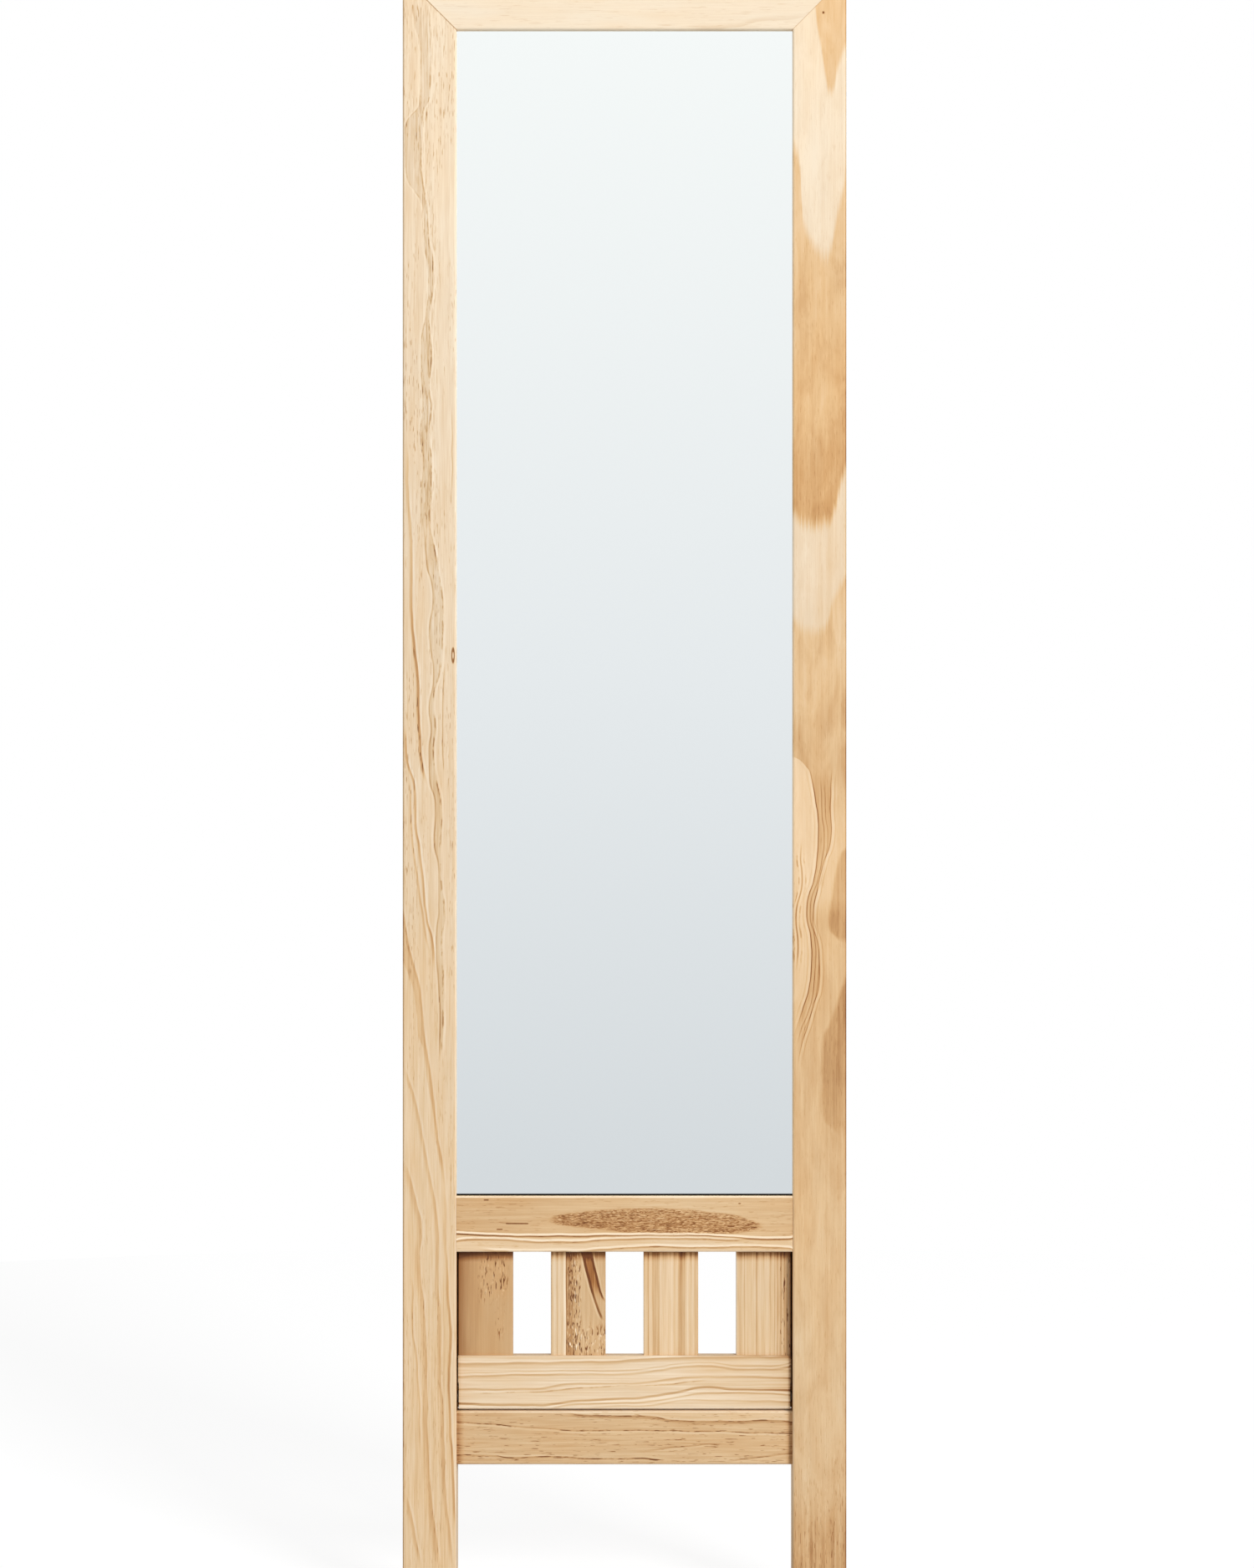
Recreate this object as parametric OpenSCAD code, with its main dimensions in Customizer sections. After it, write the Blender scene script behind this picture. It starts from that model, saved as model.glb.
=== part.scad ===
// Tall mirror in a pine frame, with a slatted shelf below the glass that folds down to the front.
// The front faces -Y and +Z is up. The origin is at the middle of the footprint, on the floor.

/* [Frame] */
// Clear width between the two stiles
opening_w = 288; // [240:1:400]
// Width of a stile and of the mitred top rail
stile_w = 46; // [40:1:60]
// Depth of the stiles and of the top rail, front to back
frame_depth = 34; // [32:1:42]
// Height of the legs below the lower rail
leg_h = 123.6; // [60:0.2:200]
// Height of the lower rail
lower_rail_h = 46; // [36:1:60]
// Thickness of the lower rail
lower_rail_t = 18; // [16:1:22]
// Height of the opening that the shelf closes into
shelf_opening_h = 137.4; // [110:0.2:200]
// Height of the mid rail
mid_rail_h = 48; // [40:1:64]
// How far the mid rail's face lies behind the stiles' faces
mid_rail_setback = 1; // [0.5:0.1:2]
// Radius of the eased arrises on the frame's front
arris_r = 2; // [1:0.1:3]
// Radius of the eased arrises on hidden and small pieces
fine_arris_r = 1; // [0.5:0.1:1.4]

/* [Mirror] */
// Height of glass that shows in the frame
mirror_h = 999; // [700:1:1200]
// How far the glass lies behind the frame's face
glass_inset = 5; // [4:0.1:7]
// Thickness of the glass
glass_t = 3; // [2:0.5:4]
// Thickness of the backing board
backing_t = 3; // [2:0.5:4]
// Width of the rebate that holds the glass
rebate_w = 8; // [6:0.5:10]
// Clearance round the edge of the glass
glass_clearance = 1.5; // [0.5:0.1:2]
// Depth of the beads behind the backing board
bead_depth = 10; // [8:0.5:14]
// Radius on the beads' inner corner
bead_r = 3; // [1:0.5:5]
// Diameter of the pins that fix the beads
bead_pin_d = 1.4; // [1:0.1:2]
// Length of the pins that fix the beads
bead_pin_l = 18; // [14:0.5:22]
// Most room between the pins of one bead
bead_pin_pitch = 330; // [200:5:400]
// Distance of a bead's end pins from its ends
bead_pin_inset = 30; // [15:1:50]

/* [Shelf] */
// Gap between the shelf and each stile
shelf_side_gap = 1.2; // [0.8:0.1:2]
// Gap between the slats and the mid rail
shelf_top_gap = 1.5; // [1:0.1:3]
// How far the shelf rail's face lies behind the stiles' faces
shelf_recess = 8; // [6:0.5:9]
// Height of the shelf rail
shelf_rail_h = 46; // [40:1:60]
// Thickness of the shelf rail
shelf_rail_t = 14; // [13:0.5:15]
// Radius of the shelf rail's lower front edge, which turns past the lower rail
shelf_toe_r = 3; // [2:0.1:4]
// Width of a slat
slat_w = 47; // [38:1:52]
// Thickness of a slat
slat_t = 8; // [6:0.5:8.5]
// How far the slats' faces lie behind the shelf rail's face
slat_recess = 3; // [2:0.1:3.5]
// Length of a slat's tenon
tenon_l = 20; // [12:1:24]
// Shoulder on each side of a tenon
tenon_shoulder = 6; // [4:0.5:9]
// Clearance round a tenon
tenon_clearance = 0.1; // [0.05:0.01:0.2]

/* [Pivot] */
// Height of the pivot above the shelf rail's lower edge
pivot_h = 10; // [9:0.1:12]
// Diameter of the pivot pins
pin_d = 6; // [5:0.5:7]
// Length of a pin inside the stile
pin_in_stile = 20; // [15:1:30]
// Length of a pin inside the shelf rail
pin_in_rail = 18; // [12:1:25]
// Running clearance between a pin and the shelf rail, on the radius
pivot_clearance = 0.05; // [0.02:0.01:0.09]
// Diameter of the pivot washers
washer_d = 10; // [9:0.5:14]
// Gap between a washer and the shelf rail
washer_gap = 0.3; // [0.2:0.05:0.5]
// Depth of the relief cut in each end of the shelf rail
relief_t = 0.5; // [0.4:0.1:1.6]
// Height of the relief cut in each end of the shelf rail
relief_h = 23; // [18:0.5:28]
// Least gap that the turning toe keeps from the lower rail
toe_gap = 0.44; // [0.3:0.01:1]
// Gap between the shelf and the batten that stops it
stop_gap = 0.3; // [0.2:0.05:0.6]
// Height of the stop batten
batten_h = 24; // [20:1:28]

/* [Joinery] */
// Diameter of the frame's dowels
dowel_d = 8; // [6:0.5:8]
// Length of the rails' dowels
dowel_l = 40; // [30:1:50]
// Distance of the rails' dowels from the nearest edge
dowel_edge = 11; // [9:0.5:12]
// Length of the mitres' dowels
mitre_dowel_l = 24; // [18:1:26]
// Distance between the two dowels of a mitre
mitre_dowel_pitch = 24; // [18:1:26]
// Diameter of the stop batten's dowels
batten_dowel_d = 6; // [5:0.5:6]
// Length of the stop batten's dowels
batten_dowel_l = 30; // [20:1:36]
// Distance between the two dowels at each end of the stop batten
batten_dowel_pitch = 12; // [9:0.5:12]
// Chamfer on the ends of dowels and pins
end_chamfer = 0.8; // [0.4:0.1:1.2]
// Clearance between a fixed peg and its hole, on the radius
peg_clearance = 0.05; // [0.02:0.01:0.09]
// Room at the blind end of a hole
blind_gap = 0.5; // [0.2:0.1:1]

/* [Hangers] */
// Distance of the hanger plates' middle below the top
hanger_inset = 90; // [80:1:200]
// Width of a hanger plate
plate_w = 18; // [16:0.5:22]
// Height of a hanger plate
plate_h = 52; // [48:1:60]
// Thickness of a hanger plate
plate_t = 1.5; // [1:0.1:2]
// Diameter of the keyhole's entry
entry_d = 9; // [8:0.1:10]
// Width of the keyhole's slot
slot_w = 4.6; // [4:0.1:5]
// Distance from the entry's middle to the slot's end
slot_rise = 10; // [8:0.5:12]
// Width of the pocket behind the keyhole
head_pocket_w = 11; // [10.5:0.1:12.5]
// Depth of the pocket behind the keyhole
head_pocket_depth = 8; // [6:0.5:12]
// Clearance round a plate in its seat
plate_clearance = 0.1; // [0.05:0.01:0.2]
// Distance between a plate's two screws
screw_pitch = 38; // [35:0.5:40]
// Diameter of a screw's shank
screw_d = 3; // [2.5:0.1:3.5]
// Diameter of a screw's head
screw_head_d = 6; // [5.5:0.1:7]
// Length of a screw
screw_l = 16; // [12:1:22]
// Width of a screw's blunt tip
screw_tip_d = 0.8; // [0.5:0.1:1.2]

/* [Hidden] */
$fn = 64;

// Sides of the object, and the number of slats
left = -1;
right = 1;
slat_count = 4;

// How far a cutting solid runs past what it cuts
past = 1;

// Finishes
pine_cream = [0.90, 0.80, 0.64];
pine_tan = [0.83, 0.69, 0.50];
pine_brown = [0.78, 0.63, 0.44];
beech = [0.80, 0.66, 0.47];
hardboard = [0.45, 0.33, 0.22];
silver_glass = [0.85, 0.89, 0.92];
steel = [0.70, 0.71, 0.72];

// Frame, from the floor up
inner_x = opening_w / 2;
outer_x = inner_x + stile_w;
front_y = -frame_depth / 2;
back_y = frame_depth / 2;
lower_rail_z = leg_h;
shelf_opening_z = lower_rail_z + lower_rail_h;
mid_rail_z = shelf_opening_z + shelf_opening_h;
mirror_z = mid_rail_z + mid_rail_h;
mirror_top_z = mirror_z + mirror_h;
overall_h = mirror_top_z + stile_w;

// Mirror, from the front to the back
glass_y = front_y + glass_inset;
backing_y = glass_y + glass_t;
bead_y = backing_y + backing_t;
bead_mid_y = bead_y + bead_depth / 2;
rebate_x = inner_x + rebate_w;
rebate_z = mirror_z - rebate_w;
rebate_top_z = mirror_top_z + rebate_w;
pane_w = 2 * (rebate_x - glass_clearance);
pane_h = rebate_top_z - rebate_z - 2 * glass_clearance;

// Shelf and its pivot. The toe is the rounded lower front edge, and it turns on the radius toe_swing_r
shelf_w = opening_w - 2 * shelf_side_gap;
shelf_front_y = front_y + shelf_recess;
shelf_back_y = shelf_front_y + shelf_rail_t;
pivot_y = shelf_front_y + shelf_rail_t / 2;
toe_swing_r = norm([shelf_rail_t / 2 - shelf_toe_r, pivot_h - shelf_toe_r]) + shelf_toe_r;
pivot_z = shelf_opening_z + toe_gap + toe_swing_r;
shelf_z = pivot_z - pivot_h;
shelf_rail_top_z = shelf_z + shelf_rail_h;
shelf_top_z = mid_rail_z - shelf_top_gap;
slat_y = shelf_front_y + slat_recess;
slat_step = (shelf_w - slat_w) / (slat_count - 1);
tenon_w = slat_w - 2 * tenon_shoulder;
rail_end_to_stile = shelf_side_gap + relief_t;
washer_t = rail_end_to_stile - washer_gap;

// Stop batten
batten_y = shelf_back_y + stop_gap;
batten_t = back_y - batten_y;
batten_z = pivot_z + shelf_rail_t / 2 + stop_gap;

// Lower rail, whose face lines up with the shelf rail's
lower_rail_y = shelf_front_y;

// Joints: middle of a mitre, heights of the dowels
mitre_mid_x = inner_x + stile_w / 2;
mitre_mid_z = mirror_top_z + stile_w / 2;
square_to_mitre = 90 + 45;
mid_dowel_zs = [mid_rail_z + dowel_edge, rebate_z - dowel_edge];
lower_dowel_zs = [lower_rail_z + dowel_edge, shelf_opening_z - dowel_edge];
batten_mid_z = batten_z + batten_h / 2;
batten_dowel_zs = [batten_mid_z - batten_dowel_pitch / 2, batten_mid_z + batten_dowel_pitch / 2];

// Hangers
hanger_x = inner_x + stile_w / 2;
hanger_z = overall_h - hanger_inset;
entry_z = hanger_z - slot_rise / 2;
slot_top_z = entry_z + slot_rise;

// Bead pins: how many, and how far apart
side_bead_h = rebate_top_z - rebate_z;
side_pin_count = ceil(side_bead_h / bead_pin_pitch) + 1;
cross_pin_count = ceil(opening_w / bead_pin_pitch) + 1;
side_pin_step = (side_bead_h - 2 * bead_pin_inset) / (side_pin_count - 1);
cross_pin_step = (opening_w - 2 * bead_pin_inset) / (cross_pin_count - 1);

// Rectangle w by h from the origin, with a radius for each corner, counterclockwise from the lower left
module eased_rect(w, h, ll, lr, ur, ul) {
    polygon([[0, ll], [ll, 0], [w - lr, 0], [w, lr], [w, h - ur], [w - ur, h], [ul, h], [0, h - ul]]);
    translate([ll, ll])
        circle(r = ll);
    translate([w - lr, lr])
        circle(r = lr);
    translate([w - ur, h - ur])
        circle(r = ur);
    translate([ul, h - ul])
        circle(r = ul);
}

// Upright strip with round ends, w wide, from height z0 to height z1 between the ends' centres
module obround(w, z0, z1) {
    translate([-w / 2, z0])
        square([w, z1 - z0]);
    translate([0, z0])
        circle(d = w);
    translate([0, z1])
        circle(d = w);
}

// Draws its children on the right, or mirrored onto the left
module on_side(side) {
    if (side == right)
        children();
    else
        mirror([1, 0, 0])
            children();
}

// Turns a 2D outline, drawn as depth by height, into a bar that runs l along X about the middle
module cross_bar(l) {
    translate([-l / 2, 0, 0])
        rotate([90, 0, 90])
            linear_extrude(height = l)
                children();
}

// Turns a 2D outline, drawn as width by height, into a plate from y0 to y1
module upright_plate(y0, y1) {
    translate([0, y1, 0])
        rotate([90, 0, 0])
            linear_extrude(height = y1 - y0)
                children();
}

// Round peg along Z from z0 to z1, with chamfered ends
module peg(d, z0, z1) {
    r = d / 2;
    end_r = r - end_chamfer;
    rotate_extrude()
        polygon([
            [0, z0], [end_r, z0], [r, z0 + end_chamfer],
            [r, z1 - end_chamfer], [end_r, z1], [0, z1]
        ]);
}

// Hole for a peg, longer than the peg by the room at the blind ends
module peg_hole(d, z0, z1, clearance) {
    translate([0, 0, z0 - blind_gap])
        cylinder(r = d / 2 + clearance, h = z1 - z0 + 2 * blind_gap);
}

// Places for the pegs of the right-hand joints. The peg's axis is Z there
module at_heights(y, zs) {
    for (z = zs)
        translate([inner_x, y, z])
            rotate([0, 90, 0])
                children();
}

module at_mid_rail_joint() {
    at_heights(0, mid_dowel_zs)
        children();
}

module at_lower_rail_joint() {
    at_heights(lower_rail_y + lower_rail_t / 2, lower_dowel_zs)
        children();
}

module at_batten_joint() {
    at_heights(batten_y + batten_t / 2, batten_dowel_zs)
        children();
}

module at_pivot() {
    at_heights(pivot_y, [pivot_z])
        children();
}

module at_mitre_joint() {
    for (way = [-1, 1])
        translate([mitre_mid_x, 0, mitre_mid_z])
            rotate([0, square_to_mitre, 0])
                translate([way * mitre_dowel_pitch / 2, 0, 0])
                    children();
}

// Places of the bead pins, with +Z from the bead's inner face into the wood
module at_side_bead_pins() {
    for (i = [0:side_pin_count - 1])
        translate([inner_x, bead_mid_y, rebate_z + bead_pin_inset + i * side_pin_step])
            rotate([0, 90, 0])
                children();
}

module at_top_bead_pins() {
    for (i = [0:cross_pin_count - 1])
        translate([bead_pin_inset - inner_x + i * cross_pin_step, bead_mid_y, mirror_top_z])
            children();
}

module at_bottom_bead_pins() {
    for (i = [0:cross_pin_count - 1])
        translate([bead_pin_inset - inner_x + i * cross_pin_step, bead_mid_y, mirror_z])
            rotate([180, 0, 0])
                children();
}

module bead_pin() {
    cylinder(d = bead_pin_d, h = bead_pin_l);
}

module bead_pin_hole() {
    translate([0, 0, -past])
        cylinder(r = bead_pin_d / 2 + peg_clearance, h = bead_pin_l + past + blind_gap);
}

// Places of the screws of the right-hand hanger, with +Z from the back into the wood
module at_hanger_screws() {
    for (way = [-1, 1])
        translate([hanger_x, back_y, hanger_z + way * screw_pitch / 2])
            rotate([90, 0, 0])
                children();
}

// Countersunk head and straight shank of a screw along Z, l long, grown all round by the clearance
module screw_blank(l, clearance) {
    head_r = screw_head_d / 2 + clearance;
    shank_r = screw_d / 2 + clearance;
    cylinder(r1 = head_r, r2 = shank_r, h = head_r - shank_r);
    cylinder(r = shank_r, h = l);
}

module screw() {
    straight_l = screw_l - screw_d;
    screw_blank(straight_l, 0);
    translate([0, 0, straight_l])
        cylinder(d1 = screw_d, d2 = screw_tip_d, h = screw_d);
}

// Space above the right-hand mitre, which the stile leaves to the top rail
module above_mitre() {
    upright_plate(front_y - past, back_y + past)
        polygon([
            [inner_x - past, mirror_top_z - past], [outer_x + past, overall_h + past],
            [inner_x - past, overall_h + past]
        ]);
}

// Space below the right-hand mitre, which the top rail leaves to the stile
module below_mitre() {
    upright_plate(front_y - past, back_y + past)
        polygon([
            [inner_x - past, mirror_top_z - past], [outer_x + past, mirror_top_z - past],
            [outer_x + past, overall_h + past]
        ]);
}

// Seat of the right-hand hanger plate, with its pocket for the wall screw's head and its pilot holes
module hanger_seat() {
    seat_w = plate_w + 2 * plate_clearance;
    half_run = (plate_h - plate_w) / 2;
    translate([hanger_x, 0, 0]) {
        upright_plate(back_y - plate_t, back_y + past)
            obround(seat_w, hanger_z - half_run, hanger_z + half_run);
        upright_plate(back_y - plate_t - head_pocket_depth, back_y)
            obround(head_pocket_w, entry_z, slot_top_z);
    }
    at_hanger_screws()
        screw_blank(screw_l + blind_gap, peg_clearance);
}

// Stiles
module stile(side) {
    on_side(side)
        difference() {
            translate([inner_x, front_y, 0])
                linear_extrude(height = overall_h)
                    eased_rect(stile_w, frame_depth, arris_r, arris_r, fine_arris_r, fine_arris_r);
            above_mitre();
            translate([inner_x - past, glass_y, rebate_z])
                cube([rebate_w + past, frame_depth, side_bead_h]);
            at_mitre_joint()
                peg_hole(dowel_d, -mitre_dowel_l / 2, mitre_dowel_l / 2, peg_clearance);
            at_mid_rail_joint()
                peg_hole(dowel_d, -dowel_l / 2, dowel_l / 2, peg_clearance);
            at_lower_rail_joint()
                peg_hole(dowel_d, -dowel_l / 2, dowel_l / 2, peg_clearance);
            at_batten_joint()
                peg_hole(batten_dowel_d, -batten_dowel_l / 2, batten_dowel_l / 2, peg_clearance);
            at_pivot()
                peg_hole(pin_d, -washer_t, pin_in_stile, peg_clearance);
            at_side_bead_pins()
                bead_pin_hole();
            hanger_seat();
        }
}

module left_stile() {
    color(pine_cream)
        stile(left);
}

module right_stile() {
    color(pine_tan)
        stile(right);
}

// Rails
module top_rail() {
    color(pine_cream)
        difference() {
            translate([0, front_y, mirror_top_z])
                cross_bar(2 * outer_x)
                    eased_rect(frame_depth, stile_w, arris_r, fine_arris_r, fine_arris_r, arris_r);
            translate([-outer_x, glass_y, mirror_top_z - past])
                cube([2 * outer_x, frame_depth, rebate_w + past]);
            at_top_bead_pins()
                bead_pin_hole();
            for (side = [left, right])
                on_side(side) {
                    below_mitre();
                    at_mitre_joint()
                        peg_hole(dowel_d, -mitre_dowel_l / 2, mitre_dowel_l / 2, peg_clearance);
                }
        }
}

module mid_rail() {
    mid_t = frame_depth - mid_rail_setback;
    color(pine_brown)
        difference() {
            translate([0, front_y + mid_rail_setback, mid_rail_z])
                cross_bar(opening_w)
                    eased_rect(mid_t, mid_rail_h, arris_r, fine_arris_r, fine_arris_r, arris_r);
            translate([-inner_x - past, glass_y, rebate_z])
                cube([opening_w + 2 * past, frame_depth, rebate_w + past]);
            at_bottom_bead_pins()
                bead_pin_hole();
            for (side = [left, right])
                on_side(side)
                    at_mid_rail_joint()
                        peg_hole(dowel_d, -dowel_l / 2, dowel_l / 2, peg_clearance);
        }
}

module lower_rail() {
    color(pine_tan)
        difference() {
            translate([0, lower_rail_y, lower_rail_z])
                cross_bar(opening_w)
                    eased_rect(lower_rail_t, lower_rail_h, arris_r, fine_arris_r, fine_arris_r, arris_r);
            for (side = [left, right])
                on_side(side)
                    at_lower_rail_joint()
                        peg_hole(dowel_d, -dowel_l / 2, dowel_l / 2, peg_clearance);
        }
}

// Glass, backing board and the beads that hold them
module pane(y, t) {
    translate([-pane_w / 2, y, rebate_z + glass_clearance])
        cube([pane_w, t, pane_h]);
}

module mirror_glass() {
    color(silver_glass)
        pane(glass_y, glass_t);
}

module backing_board() {
    color(hardboard)
        pane(backing_y, backing_t);
}

module side_bead(side) {
    color(pine_cream)
        on_side(side)
            difference() {
                translate([inner_x, bead_y, rebate_z])
                    linear_extrude(height = side_bead_h)
                        eased_rect(rebate_w, bead_depth, fine_arris_r, fine_arris_r, fine_arris_r, bead_r);
                at_side_bead_pins()
                    bead_pin_hole();
            }
}

module left_bead() {
    side_bead(left);
}

module right_bead() {
    side_bead(right);
}

module top_bead() {
    color(pine_cream)
        difference() {
            translate([0, bead_y, mirror_top_z])
                cross_bar(opening_w)
                    eased_rect(bead_depth, rebate_w, fine_arris_r, bead_r, fine_arris_r, fine_arris_r);
            at_top_bead_pins()
                bead_pin_hole();
        }
}

module bottom_bead() {
    color(pine_cream)
        difference() {
            translate([0, bead_y, rebate_z])
                cross_bar(opening_w)
                    eased_rect(bead_depth, rebate_w, fine_arris_r, fine_arris_r, bead_r, fine_arris_r);
            at_bottom_bead_pins()
                bead_pin_hole();
        }
}

module bead_pins() {
    color(steel) {
        for (side = [left, right])
            on_side(side)
                at_side_bead_pins()
                    bead_pin();
        at_top_bead_pins()
            bead_pin();
        at_bottom_bead_pins()
            bead_pin();
    }
}

// Shelf
module slat_place(index) {
    translate([index * slat_step - shelf_w / 2, slat_y, shelf_rail_top_z])
        children();
}

module mortise() {
    translate([tenon_shoulder - tenon_clearance, -tenon_clearance, -tenon_l - blind_gap])
        cube([tenon_w + 2 * tenon_clearance, slat_t + 2 * tenon_clearance, tenon_l + blind_gap + past]);
}

module shelf_rail() {
    color(pine_cream)
        difference() {
            translate([0, shelf_front_y, shelf_z])
                cross_bar(shelf_w)
                    eased_rect(
                        shelf_rail_t, shelf_rail_h,
                        shelf_toe_r, fine_arris_r, fine_arris_r, fine_arris_r
                    );
            for (index = [0:slat_count - 1])
                slat_place(index)
                    mortise();
            for (side = [left, right])
                on_side(side) {
                    translate([shelf_w / 2 - relief_t, shelf_front_y - past, shelf_z - past])
                        cube([relief_t + past, shelf_rail_t + 2 * past, relief_h + past]);
                    at_pivot()
                        peg_hole(pin_d, -rail_end_to_stile - pin_in_rail, 0, pivot_clearance);
                }
        }
}

module shelf_slat(index) {
    color(pine_brown)
        slat_place(index) {
            linear_extrude(height = shelf_top_z - shelf_rail_top_z)
                eased_rect(slat_w, slat_t, fine_arris_r, fine_arris_r, fine_arris_r, fine_arris_r);
            translate([tenon_shoulder, 0, -tenon_l])
                cube([tenon_w, slat_t, tenon_l + past]);
        }
}

// Pivots and the batten that stops the shelf, closed and open
module pivot_pin(side) {
    color(steel)
        on_side(side)
            at_pivot()
                peg(pin_d, -rail_end_to_stile - pin_in_rail, pin_in_stile);
}

module pivot_washer(side) {
    color(steel)
        on_side(side)
            at_pivot()
                translate([0, 0, -washer_t])
                    difference() {
                        cylinder(d = washer_d, h = washer_t);
                        translate([0, 0, -past])
                            cylinder(r = pin_d / 2 + peg_clearance, h = washer_t + 2 * past);
                    }
}

module stop_batten() {
    color(pine_tan)
        difference() {
            translate([0, batten_y, batten_z])
                cross_bar(opening_w)
                    eased_rect(batten_t, batten_h, fine_arris_r, fine_arris_r, fine_arris_r, fine_arris_r);
            for (side = [left, right])
                on_side(side)
                    at_batten_joint()
                        peg_hole(batten_dowel_d, -batten_dowel_l / 2, batten_dowel_l / 2, peg_clearance);
        }
}

// Dowels
module batten_dowels() {
    color(beech)
        for (side = [left, right])
            on_side(side)
                at_batten_joint()
                    peg(batten_dowel_d, -batten_dowel_l / 2, batten_dowel_l / 2);
}

module mitre_dowels(side) {
    color(beech)
        on_side(side)
            at_mitre_joint()
                peg(dowel_d, -mitre_dowel_l / 2, mitre_dowel_l / 2);
}

module mid_rail_dowels() {
    color(beech)
        for (side = [left, right])
            on_side(side)
                at_mid_rail_joint()
                    peg(dowel_d, -dowel_l / 2, dowel_l / 2);
}

module lower_rail_dowels() {
    color(beech)
        for (side = [left, right])
            on_side(side)
                at_lower_rail_joint()
                    peg(dowel_d, -dowel_l / 2, dowel_l / 2);
}

// Hangers
module hanger_plate(side) {
    half_run = (plate_h - plate_w) / 2;
    color(steel)
        on_side(side)
            difference() {
                translate([hanger_x, 0, 0])
                    upright_plate(back_y - plate_t, back_y)
                        difference() {
                            obround(plate_w, hanger_z - half_run, hanger_z + half_run);
                            translate([0, entry_z])
                                circle(d = entry_d);
                            obround(slot_w, entry_z, slot_top_z);
                        }
                at_hanger_screws()
                    screw_blank(screw_l, peg_clearance);
            }
}

module hanger_screws() {
    color(steel)
        for (side = [left, right])
            on_side(side)
                at_hanger_screws()
                    screw();
}

left_stile();
right_stile();
top_rail();
mid_rail();
lower_rail();
mirror_glass();
backing_board();
left_bead();
right_bead();
top_bead();
bottom_bead();
bead_pins();
shelf_rail();
shelf_slat(0);  // shelf_slat_1
shelf_slat(1);  // shelf_slat_2
shelf_slat(2);  // shelf_slat_3
shelf_slat(3);  // shelf_slat_4
pivot_pin(left);  // left_pivot_pin
pivot_pin(right);  // right_pivot_pin
pivot_washer(left);  // left_pivot_washer
pivot_washer(right);  // right_pivot_washer
stop_batten();
batten_dowels();
mitre_dowels(left);  // left_mitre_dowels
mitre_dowels(right);  // right_mitre_dowels
mid_rail_dowels();
lower_rail_dowels();
hanger_plate(left);  // left_hanger_plate
hanger_plate(right);  // right_hanger_plate
hanger_screws();
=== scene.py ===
from math import pi

import bmesh
import bpy
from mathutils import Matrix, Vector


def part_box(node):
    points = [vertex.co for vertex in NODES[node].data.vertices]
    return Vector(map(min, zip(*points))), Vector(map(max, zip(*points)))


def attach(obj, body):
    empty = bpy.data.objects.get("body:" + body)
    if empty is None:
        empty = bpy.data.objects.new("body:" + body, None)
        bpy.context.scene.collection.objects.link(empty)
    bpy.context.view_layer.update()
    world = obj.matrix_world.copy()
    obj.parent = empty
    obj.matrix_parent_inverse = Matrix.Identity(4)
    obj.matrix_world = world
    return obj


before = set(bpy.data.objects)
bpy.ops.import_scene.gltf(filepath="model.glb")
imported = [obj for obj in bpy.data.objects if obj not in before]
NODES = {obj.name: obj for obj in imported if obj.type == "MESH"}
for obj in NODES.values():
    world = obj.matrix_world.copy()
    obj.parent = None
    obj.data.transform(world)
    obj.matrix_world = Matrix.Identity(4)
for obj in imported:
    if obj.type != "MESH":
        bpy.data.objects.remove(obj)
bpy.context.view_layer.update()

MM = 0.001

# The scene, in metres unless a name says otherwise.
CAMERA_PLACE = (0.0021, -3.217, 0.7079)
FOCAL_LENGTH_MM = 85.8
SENSOR_MM = 36
FLOOR_RADIUS = 2.5
FLOOR_SIDES = 96
FLOOR_DROP = 0.0003
KEY_PLACE = (6.7, -13.2, 6.7)
KEY_TARGET = (0, 0, 0.7)
KEY_SIZE = 3.3
KEY_POWER = 1520
AMBIENT = 0.46

# How pale the floor is to light that bounces off it, how pale it is to the rays that see it, and how
# strongly it glows for those.
FLOOR_PALENESS = 0.8
FLOOR_SEEN = 0.25
FLOOR_GLOW = 0.84

# What reflections show: the floor, and the world from HORIZON_REACH below level to as much above, as sRGB.
REFLECTED_FLOOR = (200, 205, 209)
REFLECTED_WORLD = ((0, (204, 208, 211)), (0.33, (217, 221, 226)), (0.55, (234, 237, 241)),
                   (0.83, (250, 252, 253)))
HORIZON_REACH = 0.3
WHITE = (1, 1, 1, 1)

# Lacquered pine from its palest to its darkest, as sRGB: one scale of tones for every board.
PINE = ((0, (251, 232, 204)), (0.2, (237, 212, 179)), (0.4, (225, 193, 150)), (0.6, (204, 163, 115)),
        (0.8, (160, 110, 63)), (1, (108, 62, 28)))
DEEPEST_TONE = 1.25

# How much warmth raises the red and lowers the green and the blue.
WARM_RED = 0.05
WARM_GREEN = 0.015
WARM_BLUE = 0.11

# The lacquer: its roughness, its shine, and how far the grain stands up in millimetres.
LACQUER_ROUGHNESS = 0.58
LACQUER_SHINE = 0.3
GRAIN_RELIEF = 0.06

# Lengths of the grain's features in millimetres: along, across and deep. The tones say how strong they are.
FIBRE_LENGTHS = (35, 1.1, 1.1)
FIBRE_TONE = 0.42
STREAK_LENGTHS = (160, 2.6, 2.6)
STREAK_TONE = 0.22
CLOUD_LENGTHS = (80, 16, 16)
CLOUD_TONE = 0.14
FINE_LINE_LENGTHS = (220, 1.5, 1.5)
FEATHER_LENGTHS = (90, 0.9, 0.9)

# How far a figure moves across for each millimetre that it lies in from the face.
LEAN = 0.8

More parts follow.
